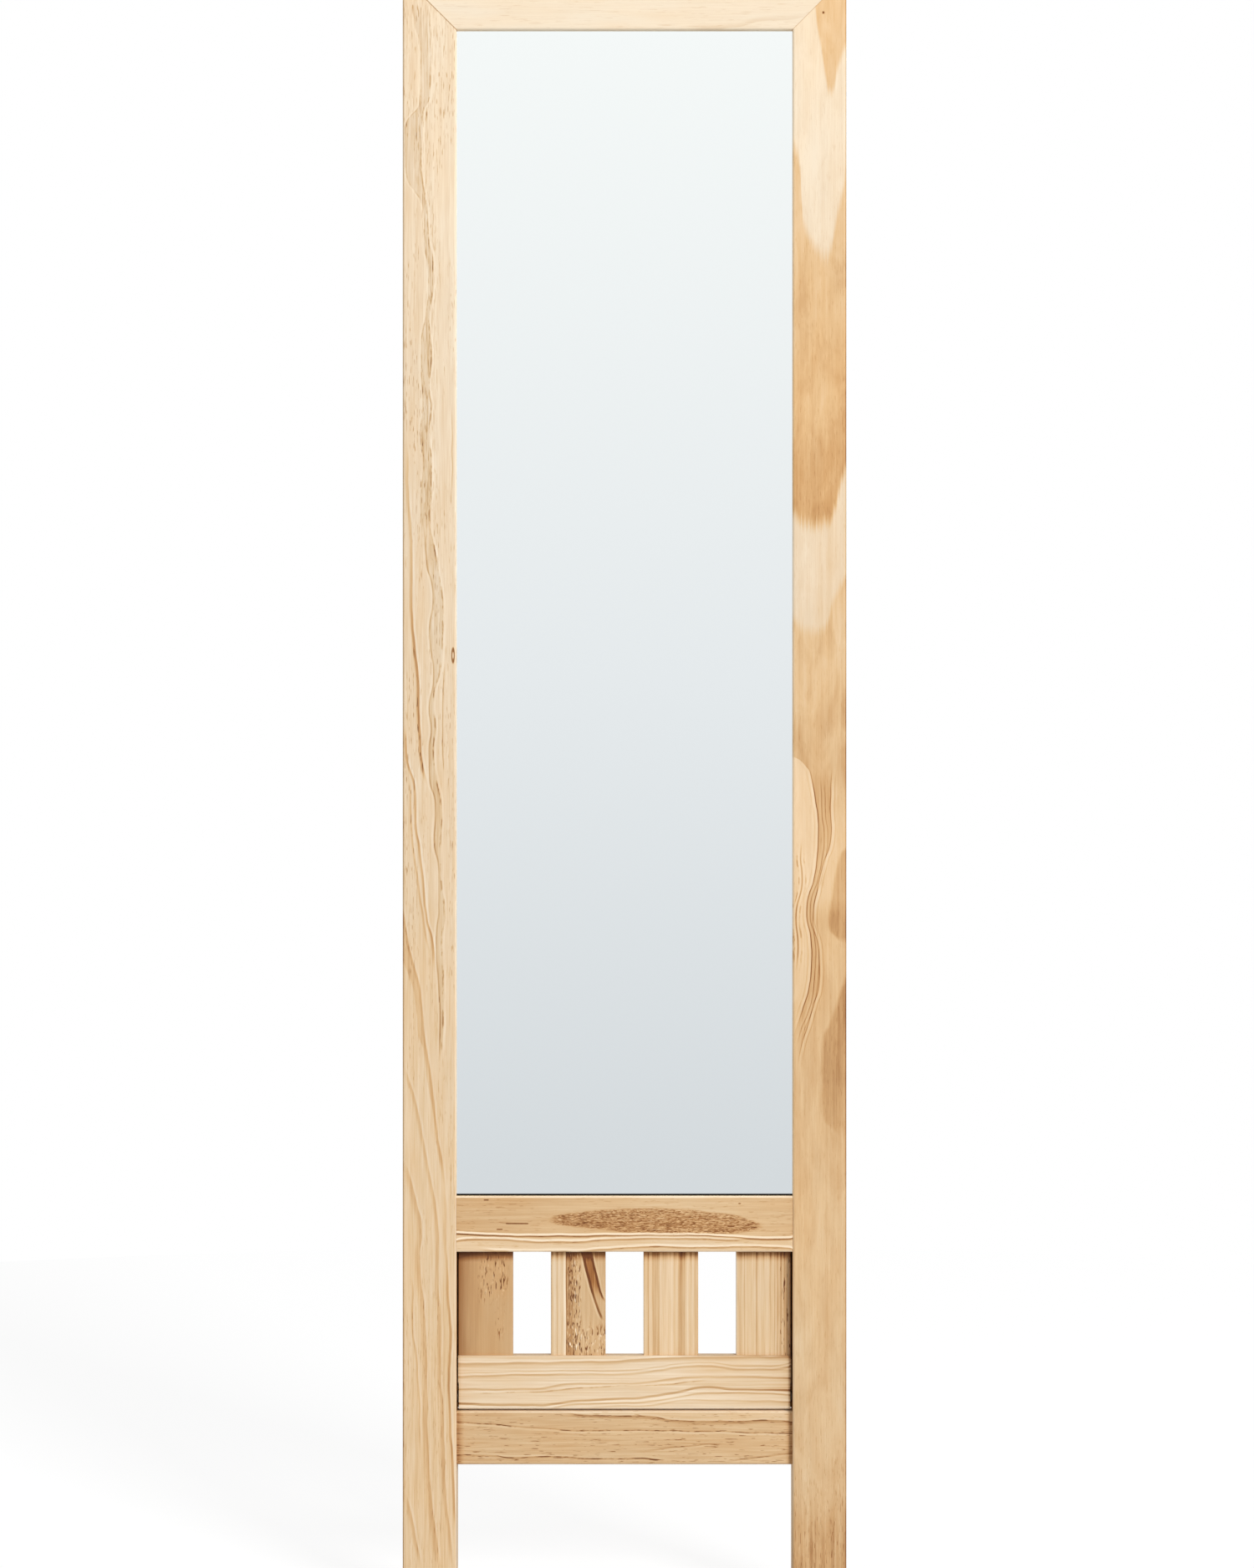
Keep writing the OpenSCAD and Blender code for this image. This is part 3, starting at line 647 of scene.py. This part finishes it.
# The first stripe of slat 4, paler at its left edge, is a painted highlight.
SLAT_4 = (
    (0, 0.4, 1, -0.3), (3.6, 0.8, 1, 0.16), (7.1, 0.15, 0.4, 0.14), (17.7, 0.3, 0.6, 0.2),
    (29.3, 0.3, 0.6, 0.16), (33.4, 0.3, 0.6, 0.18), (35.4, 0.3, 0.6, 0.16), (38.4, 0.4, 0.7, 0.16),
    (41.6, 0.3, 0.7, 0.2), (43.6, 0.3, 0.7, 0.2), (46, 0.3, 0.7, 0.14),
)


def left_stile():
    """Golden below and pale above, with a broken band of heart and long golden growth lines."""
    board = Board("left_stile", True, 11)
    outward = 1 - board.smooth(board.across, *PALE_OUTWARD)
    tone = board.curve(LEFT_TONES) + outward * board.smooth(board.along, *PALE_UPWARD) * 0.08
    heart = board.band(BAND_LEFT_UPPER, BAND_RIGHT_UPPER, 1)
    heart = heart + board.band(BAND_LEFT_LOWER, BAND_RIGHT_LOWER, 1)
    patchy = board.noise((28, 1.5, 1.5), 15, 2)
    tone = tone + heart * board.curve(HEART_TONES) * (patchy * 4 + 0.9)
    tone = tone + board.line(BAND_LEFT_LOWER, 0.3, 0.5, 1.2)
    tone = tone + board.lines(
        (BAND_LEFT_UPPER, 0.26, 0.4, 1),
        (BAND_RIGHT_UPPER, 0.44, 0.5, 1.4, -1),
        (BAND_RIGHT_LOWER, 0.42, 0.6, 1.4, -1), dashed=True)
    lines = board.band(LONG_BAND_LEFT, LONG_BAND_RIGHT, 0.18)
    lines = lines + board.lines(
        (GOLDEN_LINE, GOLDEN_LINE_TONES, 1.2, 2, -1),
        (MIDDLE_LINE, 0.38, 0.8, 1.8, -1, 0.35),
        (MIDDLE_LINE_OUTSIDE, 0.24, 0.8, 1.6, -1),
        (LONG_BAND_RIGHT, LONG_BAND_TONES, 1.1, 1.6, -1, 0.4),
        (LEG_LINE_INNER, 0.2, 0.9, 2.8, -1, 0.3),
        (LEG_LINE_MIDDLE, 0.2, 1, 5.5, -1, 0.4),
        (LEG_LINE_FOOT, 0.22, 0.9, 3.4, -1, 0.4),
        (LEG_LINE_OUTER, 0.18, 0.7, 1.4, -1))
    tone = tone + lines + board.lines((FINE_LINE_UPPER, 0.34, 0.4, 0.8), (FINE_LINE_LOWER, 0.42, 0.5, 0.8))
    thick = board.smooth(board.noise((90, 10, 10), 5), -0.1, 0.12)
    tone = tone + board.dashes(11, 0.9, 3, 0.11, 0.19) * board.curve(LEFT_FLECK_TONES) * thick
    beside = board.between(board.across - board.curve(BAND_RIGHT_UPPER), *BESIDE_HEART)
    beside = beside * board.smooth(board.along, *HEART_DASHES)
    tone = tone + board.dashes(14, 0.9, 17, 0.06, 0.14) * beside * 0.3
    # The stile's arrises get a painted highlight inside and painted shade outside.
    tone = tone + pin_knot(board) * 0.75 + board.edges(-0.16, 0.3) + board.mitre_joint(0.9)
    warmth = board.curve(LEFT_WARMTH) - heart * 0.3 + lines * 1.8
    # The stile's face beside the shelf gets painted shade.
    board.finish(tone, "left_stile", grain=1.3, warmth=warmth, painted_shade=board.painted_gap_shade())


def pin_knot(board):
    """1 on the dark ring of the small knot at the inner arris."""
    rise = (board.along - PIN_KNOT_ALONG) / PIN_KNOT_RISE
    side = (board.across - PIN_KNOT_ACROSS) / PIN_KNOT_SIDE
    ring = board.math("ABSOLUTE", board.math("SQRT", rise * rise + side * side) - 0.75)
    return 1 - board.smooth(ring, 0.15, 0.5)


def right_stile():
    """Tan and cream parts with streaky ends, and a bundle of growth lines that bends round two knots."""
    board = Board("right_stile", True, 23)
    cream = board.curve(CREAM_TONES)
    tan_part = board.above(TAN_FOOT, 9, 24) * (1 - board.above(TAN_HEAD, 10, 26))
    tan_part = tan_part + 1 - board.above(CREAM_FOOT) + board.above(FLAME_TIP)
    tone = tan_part * (board.curve(TAN_TONES) - cream) + cream
    before = 1 - board.smooth(board.wavy - board.curve(FIGURE_LEFT), -0.3, 0.3)
    paler = board.curve(BEFORE_FIGURE_TONES)
    tone = tone - before * board.between(board.along, *BEFORE_FIGURE) * paler
    beyond = board.smooth(board.wavy - board.curve(FIGURE_RIGHT), -0.3, 0.6)
    tone = tone - beyond * board.between(board.along, *BEYOND_FIGURE) * 0.14
    lines = board.band(FIGURE_LEFT, FIGURE_RIGHT, 0.08, 1, 30)
    for points, strength, core, shift, side in (
            (FIGURE_LEFT, 0.42, 0.5, 0, 1),
            (FIGURE_LEFT, 0.12, 0.3, -3.4, 1),
            (FIGURE_MIDDLE, 0.26, 0.3, 0, 1),
            (FIGURE_MIDDLE, 0.22, 0.3, 3, 1),
            (FIGURE_RIGHT, 0.32, 0.4, 0, -1),
            (FIGURE_RIGHT, 0.18, 0.3, 3, 1)):
        lines = lines + board.line(points, strength, core, 0.6, side, shift=shift, fade=30)
    tone = tone + lines
    for shift, strength, dashed in ((0, 0.44, False), (-2.9, 0.46, True), (3.2, 0.3, True)):
        tone = tone + board.line(FIGURE_LOOP, strength, 0.7, 1, -1, shift=shift, dashed=dashed)
    streaky = board.noise((110, 2, 2), 21, 2) + 0.9
    tone = tone + board.band(UPPER_KNOT_EDGE, BEYOND_EDGE, 0.28, 1.8, 8) * streaky
    tone = tone + board.band(LOWER_KNOT_EDGE, BEYOND_EDGE, LOWER_KNOT_TONES, 2.4, 16) * streaky
    upper = board.smooth(board.along, *CLOUDY_UPWARD)
    tone = tone + board.noise((46, 15, 15), 19, 3, 0.8) * (upper * tan_part * 0.26 + 0.32)
    tone = tone + board.noise((240, 3.4, 3.4), 12, 3) * board.curve(WISP_TONES)
    foot = 1 - board.smooth(board.along, *STREAKY_FOOT)
    tone = tone + board.noise((130, 2.2, 2.2), 27, 2) * foot * 0.5
    flecks = board.dashes(9, 0.8, 4, 0.12, 0.2) - board.dashes(9, 0.8, 6, 0.14, 0.2) * 0.4
    tone = tone + flecks * board.curve(DUCT_TONES)
    # The stile's arrises get a painted highlight inside and painted shade outside.
    tone = tone + board.edges(-0.14, 0.34) + board.mitre_joint(0.2)
    tone = tone + board.stroke(*RIGHT_STILE_STROKE, 0.8, 1.2)
    warmth = tan_part * board.curve(RIGHT_WARMTH) + lines + board.smooth(board.along, *WARM_TOP) * 0.5
    # The stile's face beside the shelf gets painted shade.
    board.finish(tone, "right_stile", grain=0.5, warmth=warmth, painted_shade=board.painted_gap_shade())


def top_rail():
    board = Board("top_rail", False, 31)
    tone = board.line(TOP_LINE, 0.15, 0.5, 5, rim=0) + 0.03
    ducts = board.dashes(12, 0.7, 2, 0.14, 0.22)
    board.finish(tone + ducts * 0.2 + board.mitre_joint(0.6), "top_rail", grain=0.45)


def mid_rail():
    """Tan above and cream below, with a woolly lens-shaped figure."""
    board = Board("mid_rail", False, 41)
    edge = board.across - board.curve(MID_CREAM_EDGE)
    darker = board.curve(MID_RAIL_TONES) - MID_CREAM_TONE
    tone = darker * board.smooth(edge, -1, 0.2) + MID_CREAM_TONE
    lens = board.band(MID_LENS_FOOT, MID_LENS_TOP, 1, 1.4, 12)
    wool = board.noise((4, 0.8, 0.8), 3, 3, 1)
    tone = tone + lens * (wool * 1.8 + 0.3)
    tone = tone + board.lines(
        (MID_CREAM_EDGE, 0.54, 0.6, 1.8, -1, 1.3),
        (MID_LINE, 0.4, 0.6, 1.8, -1, 1),
        (MID_FOOT_LINE, 0.36, 0.6, 1.5, -1, 1))
    # Painted highlights along the lower and upper arrises.
    tone = tone - (1 - board.smooth(board.across, *MID_FOOT_HIGHLIGHT)) * 0.3
    tone = tone - board.smooth(board.across, *MID_HEAD_HIGHLIGHT) * 0.5
    for start, end, face in MID_STROKES:
        tone = tone + board.stroke(start, end, face, 0.5)
    ducts = board.dashes(9, 0.9, 2, 0.14, 0.2)
    board.finish(tone + ducts * 0.18, "mid_rail", grain=0.8, warmth=lens * 0.4 + 0.35)


def lower_rail():
    """Tan, with growth lines broken into dashes."""
    board = Board("lower_rail", False, 53)
    edge = board.across - board.curve(LOWER_LINE_1)
    tone = board.curve(LOWER_RAIL_TONES) - board.smooth(edge, -0.4, 0.6) * 0.1
    tone = tone + board.lines(
        (LOWER_LINE_1, 0.22, 1, 2.4, -1, 0.4),
        (LOWER_LINE_2, 0.16, 0.6, 0.8, 1, 0.8),
        (LOWER_LINE_3, 0.18, 0.8, 1, -1, 0.4),
        (LOWER_LINE_4, 0.2, 0.6, 0.8),
        (LOWER_LINE_5, 0.18, 0.7, 1.4))
    tone = tone + board.lines(
        (LOWER_LINE_1, 0.28, 0.6, 0.5, -1, 0),
        (LOWER_LINE_2, 0.46, 0.5, 0.3, 1, 0),
        (LOWER_LINE_3, 0.42, 0.6, 0.4, -1, 0), dashed=True)
    # A painted highlight along the top arris, and painted shade at both ends.
    tone = tone - board.smooth(board.face, *LOWER_HEAD_HIGHLIGHT) * 0.3 + board.corners(7) * 0.3
    ducts = board.dashes(9, 0.8, 2, 0.15, 0.22)
    board.finish(tone + ducts * 0.4, "lower_rail", grain=1.1)


def shelf_rail():
    """Cream, with growth lines that rise to the right."""
    board = Board("shelf_rail", False, 61)
    tone = board.curve(SHELF_RAIL_TONES) + 0.02
    tone = tone + board.lines(
        (SHELF_LINE_1, 0.33, 0.8, 3, -1, 0.5, 1.4),
        (SHELF_LINE_2, 0.29, 0.8, 1.8, -1, 0.3, 0.2),
        (SHELF_LINE_2, 0.18, 0.6, 1, -1, 0.3, 3),
        (SHELF_LINE_3, 0.29, 0.8, 1.6, -1, 0.2, -0.2),
        (SHELF_LINE_4, 0.15, 0.5, 1.2, -1),
        (SHELF_LINE_5, 0.44, 1.4, 1, 1, 0.2, -1.2),
        (SHELF_LINE_6, 0.3, 0.7, 1.1, -1, 0.3, -0.8),
        (SHELF_LINE_7, 0.22, 0.6, 1.2, -1, 0.4))
    tone = tone + board.line(SHELF_LINE_4, 0.3, 0.5, 0.6, -1, dashed=True)
    # A painted highlight along the lower arris.
    tone = tone + board.fine_lines(0.5) - (1 - board.smooth(board.face, *SHELF_FOOT_HIGHLIGHT)) * 0.4
    # Painted shade at both ends.
    board.finish(tone + board.corners(3) * 0.2, "shelf_rail")


def slat_1():
    board = Board("shelf_slat_1", True, 71)
    tone = board.trace(board.face, SLAT_1_TONES)
    rough = board.patch(*SLAT_1_ROUGH) + board.patch(*SLAT_1_ROUGH_FOOT) * 0.6
    tone = tone + board.dashes(7, 1, 2, 0.11, 0.18) * rough * 0.6
    tone = tone - board.dashes(7, 1, 6, 0.13, 0.2) * rough * 0.22
    board.finish(tone + board.painted_rail_shadow(), "shelf_slat_1", grain=0.28, warmth=rough * 0.5)


def slat_2():
    board = Board("shelf_slat_2", True, 83)
    wander = board.noise((50, 40, 40), 9, 1) * 1.2
    tone = board.trace(board.face + wander, SLAT_2_TONES)
    brown = board.smooth(board.face, *SLAT_2_BROWN)
    streak = board.band(SLAT_STREAK_LEFT, SLAT_STREAK_RIGHT, 1)
    tone = tone + streak * 0.36
    tone = tone + board.line(SLAT_STREAK_LEFT, 0.46, 1.2, 1.4, 1, fade=6)
    tone = tone + board.line(SLAT_STREAK_RIGHT, 0.42, 1, 1.4, -1, fade=6)
    rough = board.between(board.face, *SLAT_2_ROUGH)
    rough = rough + board.between(board.along, *SLAT_2_ROUGH_FOOT) * brown * 0.8
    tone = tone + board.dashes(6, 1.1, 2, 0.08, 0.16) * rough * 0.7
    tone = tone - board.dashes(6, 1.1, 6, 0.1, 0.18) * rough * 0.42
    warmth = streak * 1.8 + brown * 0.1 + rough * 0.3 - 0.15
    board.finish(tone + board.painted_rail_shadow(), "shelf_slat_2", grain=1.2, warmth=warmth)


def slat_3():
    board = Board("shelf_slat_3", True, 97)
    wander = board.noise((70, 40, 40), 9, 1) * 2
    tone = board.stripes(SLAT_3, wander) + 0.41
    tone = tone + board.fine_lines(0.4) + board.painted_rail_shadow()
    board.finish(tone, "shelf_slat_3", warmth=0.3)


def slat_4():
    board = Board("shelf_slat_4", True, 103)
    wander = board.noise((70, 40, 40), 9, 1) * 1.2
    tone = board.trace(board.face, SLAT_4_TONES)
    tone = tone + board.stripes(SLAT_4, wander)
    ducts = board.dashes(9, 0.9, 2) * board.smooth(board.face, *SLAT_4_DUCTS)
    tone = tone + ducts * 0.6 + board.fine_lines(0.45) + board.painted_rail_shadow()
    board.finish(tone, "shelf_slat_4", warmth=0.1)


def stop_strips():
    """Strips on the stiles that close the gaps beside the shelf, above and below the stop batten, near black
    as painted shade.
    """
    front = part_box("shelf_slat_1")[1].y / MM + STRIP_GAP
    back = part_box("left_stile")[1].y / MM
    clear_of_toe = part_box("left_pivot_pin")[0].y / MM + TOE_REACH
    batten_low, batten_high = [corner.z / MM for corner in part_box("stop_batten")]
    opening_low, opening_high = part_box("lower_rail")[1].z / MM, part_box("mid_rail")[0].z / MM
    strips = []
    for side, sign in (("left", -1), ("right", 1)):
        for place, y0, y1, z0, z1 in (("upper", front, front + STRIP_DEPTH, batten_high, opening_high),
                                      ("lower", clear_of_toe, back, opening_low, batten_low)):
            strips.append(stop_strip(side + "_" + place + "_stop_strip", sign, (y0, z0), (y1, z1)))
    # Near black, as painted shade in the gaps beside the shelf.
    graph = Plain("painted_shade_dark_wood")
    fibre = graph.noise((1.1, 1.1, 30), 5, 3)
    cloud = graph.noise((8, 8, 60), 7)
    tone = fibre + cloud * 0.6 + 0.5
    colour = graph.ramp(tone, ((0, (40, 26, 14)), (0.5, (58, 39, 22)), (1, (80, 56, 33))))
    graph.surface(colour, fibre * 0.2 + 0.8, fibre, 0.08, 0.1)
    for strip in strips:
        strip.data.materials.append(graph.material)


def stop_strip(name, sign, low, high):
    """One upright strip on a stile's inner face, with its free arrises eased."""
    form = bmesh.new()
    inner, outer = sign * (MITRE_X - STRIP_WIDTH), sign * MITRE_X
    corners = [form.verts.new((x * MM, y * MM, low[1] * MM))
               for x, y in ((inner, low[0]), (outer, low[0]), (outer, high[0]), (inner, high[0]))]
    foot = form.faces.new(corners)
    raised = bmesh.ops.extrude_face_region(form, geom=[foot])["geom"]
    top = [item for item in raised if isinstance(item, bmesh.types.BMVert)]
    bmesh.ops.translate(form, verts=top, vec=(0, 0, (high[1] - low[1]) * MM))
    free = [edge for edge in form.edges
            if all(abs(vert.co.x - inner * MM) < NEAR for vert in edge.verts)
            and abs(edge.verts[0].co.z - edge.verts[1].co.z) > MM]
    bmesh.ops.bevel(form, geom=free, offset=STRIP_ARRIS * MM, segments=3, profile=0.5, affect="EDGES")
    bmesh.ops.recalc_face_normals(form, faces=form.faces)
    mesh = bpy.data.meshes.new(name)
    form.to_mesh(mesh)
    form.free()
    strip = bpy.data.objects.new(name, mesh)
    bpy.context.scene.collection.objects.link(strip)
    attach(strip, "frame")
    return strip


def plain_pine():
    """The beads and the stop batten."""
    for names, upright, seed, base in ((("left_bead", "right_bead"), True, 113, 0.36),
                                       (("top_bead", "bottom_bead", "stop_batten"), False, 127, 0.4)):
        board = Board(names[0], upright, seed)
        board.finish(board.noise((200, 5, 5), 2) * 0.5 + base, *names)


def mirror():
    graph = Plain("silvered_glass")
    haze = graph.noise((60, 60, 90), 3, 3)
    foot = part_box("mid_rail")[1].z / MM
    # A painted shade line along the mirror's foot, where it meets the mid rail.
    foot_shade = 1 - graph.smooth(graph.z, foot + GLASS_FOOT_SHADE[0], foot + GLASS_FOOT_SHADE[1])
    colour = graph.ramp(foot_shade, ((0, (250, 252, 250)), (1, (34, 30, 24))))
    graph.surface(colour, haze * 0.02 + 0.02, haze, 0.002, metallic=1)
    graph.dress("mirror_glass")


def hardboard():
    graph = Plain("pressed_hardboard")
    fibre = graph.noise((1.5, 1.5, 1.5), 5, 3)
    cloud = graph.noise((50, 50, 50), 7)
    mesh = graph.math("SINE", graph.x * BOARD_MESH) * graph.math("SINE", graph.z * BOARD_MESH)
    tone = fibre * 0.9 + cloud * 0.5 + mesh * 0.12 + 0.5
    colour = graph.ramp(tone, ((0, (104, 74, 48)), (0.5, (138, 101, 68)), (1, (172, 132, 93))))
    graph.surface(colour, fibre * 0.2 + 0.75, tone, 0.15)
    graph.dress("backing_board")


def beech():
    graph = Plain("bare_beech")
    fleck = graph.noise((0.8, 0.8, 0.8), 5, 2)
    tone = fleck * 0.8 + graph.noise((6, 6, 6), 2) * 0.6 + 0.5
    colour = graph.ramp(tone, ((0, (176, 132, 88)), (0.5, (200, 160, 114)), (1, (220, 186, 144))))
    graph.surface(colour, fleck * 0.2 + 0.6, fleck, 0.05)
    graph.dress("batten_dowels", "left_mitre_dowels", "right_mitre_dowels", "mid_rail_dowels",
                "lower_rail_dowels")


def steel():
    graph = Plain("zinc_plated_steel")
    spangle = graph.noise((2.5, 2.5, 2.5), 5, 2)
    scratch = graph.noise((0.15, 0.15, 3), 8, 2)
    tone = spangle * 0.9 + scratch * 0.3 + 0.5
    colour = graph.ramp(tone, ((0, (140, 142, 146)), (0.5, (170, 172, 175)), (1, (200, 201, 202))))
    graph.surface(colour, spangle * 0.25 + 0.36, scratch, 0.02, metallic=1)
    graph.dress("bead_pins", "left_hanger_plate", "right_hanger_plate", "hanger_screws")


def shade_darkened_steel():
    """The pivots, coloured nearly black as painted shade for their gaps."""
    graph = Plain("shade_darkened_steel")
    bloom = graph.noise((1.8, 1.8, 1.8), 4, 3)
    turning = graph.noise((0.2, 2, 2), 9, 2)
    tone = bloom * 0.9 + turning * 0.4 + 0.5
    colour = graph.ramp(tone, ((0, (58, 48, 38)), (0.5, (80, 72, 64)), (1, (104, 98, 90))))
    graph.surface(colour, bloom * 0.3 + 0.5, turning, 0.02, metallic=1)
    graph.dress("left_pivot_pin", "right_pivot_pin", "left_pivot_washer", "right_pivot_washer")


def seen_rays(tree):
    """1 for the rays by which the camera, a reflection or clear glass sees the background."""
    rays = tree.nodes.new("ShaderNodeLightPath")
    total = rays.outputs["Is Camera Ray"]
    for name in ("Is Glossy Ray", "Is Transmission Ray"):
        node = tree.nodes.new("ShaderNodeMath")
        node.operation = "MAXIMUM"
        tree.links.new(total, node.inputs[0])
        tree.links.new(rays.outputs[name], node.inputs[1])
        total = node.outputs[0]
    return total, rays


def mix_shaders(tree, factor, first, second):
    """A shader that is the first one where the factor is 0, and the second where it is 1."""
    node = tree.nodes.new("ShaderNodeMixShader")
    tree.links.new(factor, node.inputs[0])
    tree.links.new(first.outputs[0], node.inputs[1])
    tree.links.new(second.outputs[0], node.inputs[2])
    return node


def grey(value):
    """An opaque linear grey."""
    return (value, value, value, 1)


def floor():
    mesh = bpy.data.meshes.new("floor")
    disc = bmesh.new()
    bmesh.ops.create_circle(disc, cap_ends=True, segments=FLOOR_SIDES, radius=FLOOR_RADIUS)
    disc.to_mesh(mesh)
    disc.free()
    ground = bpy.data.objects.new("floor", mesh)
    ground.location.z = -FLOOR_DROP
    bpy.context.scene.collection.objects.link(ground)
    material = bpy.data.materials.new("pale_floor")
    material.use_nodes = True
    tree = material.node_tree
    tree.nodes.clear()
    matt = tree.nodes.new("ShaderNodeBsdfDiffuse")
    matt.inputs["Color"].default_value = grey(FLOOR_PALENESS)
    dim = tree.nodes.new("ShaderNodeBsdfDiffuse")
    dim.inputs["Color"].default_value = grey(FLOOR_SEEN)
    chosen, rays = seen_rays(tree)
    tint = tree.nodes.new("ShaderNodeMix")
    tint.data_type = "RGBA"
    tree.links.new(rays.outputs["Is Camera Ray"], tint.inputs["Factor"])
    tint.inputs["A"].default_value = linear(REFLECTED_FLOOR)
    tint.inputs["B"].default_value = WHITE
    glow = tree.nodes.new("ShaderNodeEmission")
    glow.inputs["Strength"].default_value = FLOOR_GLOW
    tree.links.new(tint.outputs["Result"], glow.inputs["Color"])
    bright = tree.nodes.new("ShaderNodeAddShader")
    tree.links.new(dim.outputs[0], bright.inputs[0])
    tree.links.new(glow.outputs[0], bright.inputs[1])
    choose = mix_shaders(tree, chosen, matt, bright)
    output = tree.nodes.new("ShaderNodeOutputMaterial")
    tree.links.new(choose.outputs[0], output.inputs["Surface"])
    mesh.materials.append(material)


def backdrop():
    """The world: an even light, white to the camera, and shaded from top to bottom in reflections."""
    world = bpy.data.worlds.new("studio")
    bpy.context.scene.world = world
    world.use_nodes = True
    tree = world.node_tree
    tree.nodes.clear()
    seen, rays = seen_rays(tree)
    even = tree.nodes.new("ShaderNodeBackground")
    even.inputs["Color"].default_value = WHITE
    even.inputs["Strength"].default_value = AMBIENT
    white = tree.nodes.new("ShaderNodeBackground")
    white.inputs["Color"].default_value = WHITE
    shaded = tree.nodes.new("ShaderNodeBackground")
    direction = tree.nodes.new("ShaderNodeTexCoord")
    parts = tree.nodes.new("ShaderNodeSeparateXYZ")
    tree.links.new(direction.outputs["Generated"], parts.inputs[0])
    height = tree.nodes.new("ShaderNodeMapRange")
    tree.links.new(parts.outputs["Z"], height.inputs["Value"])
    height.inputs["From Min"].default_value = -HORIZON_REACH
    height.inputs["From Max"].default_value = HORIZON_REACH
    ramp = tree.nodes.new("ShaderNodeValToRGB")
    set_stops(ramp, REFLECTED_WORLD)
    tree.links.new(height.outputs[0], ramp.inputs[0])
    tree.links.new(ramp.outputs["Color"], shaded.inputs["Color"])
    reflected = mix_shaders(tree, rays.outputs["Is Camera Ray"], shaded, white)
    choose = mix_shaders(tree, seen, even, reflected)
    output = tree.nodes.new("ShaderNodeOutputWorld")
    tree.links.new(choose.outputs[0], output.inputs["Surface"])


def key_light():
    light = bpy.data.lights.new("key", "AREA")
    light.size = KEY_SIZE
    light.energy = KEY_POWER
    lamp = bpy.data.objects.new("key", light)
    lamp.location = KEY_PLACE
    aim = Vector(KEY_TARGET) - Vector(KEY_PLACE)
    lamp.rotation_euler = aim.to_track_quat("-Z", "Y").to_euler()
    bpy.context.scene.collection.objects.link(lamp)


def camera():
    lens = bpy.data.cameras.new("camera")
    lens.lens = FOCAL_LENGTH_MM
    lens.sensor_width = SENSOR_MM
    viewer = bpy.data.objects.new("camera", lens)
    viewer.location = CAMERA_PLACE
    viewer.rotation_euler = (pi / 2, 0, 0)
    bpy.context.scene.collection.objects.link(viewer)
    bpy.context.scene.camera = viewer


bpy.context.scene.view_settings.view_transform = "Standard"
camera()
backdrop()
key_light()
floor()
for dress_pieces in (left_stile, right_stile, top_rail, mid_rail, lower_rail, shelf_rail, slat_1, slat_2,
                     slat_3, slat_4, stop_strips, plain_pine, mirror, hardboard, beech, steel, shade_darkened_steel):
    dress_pieces()
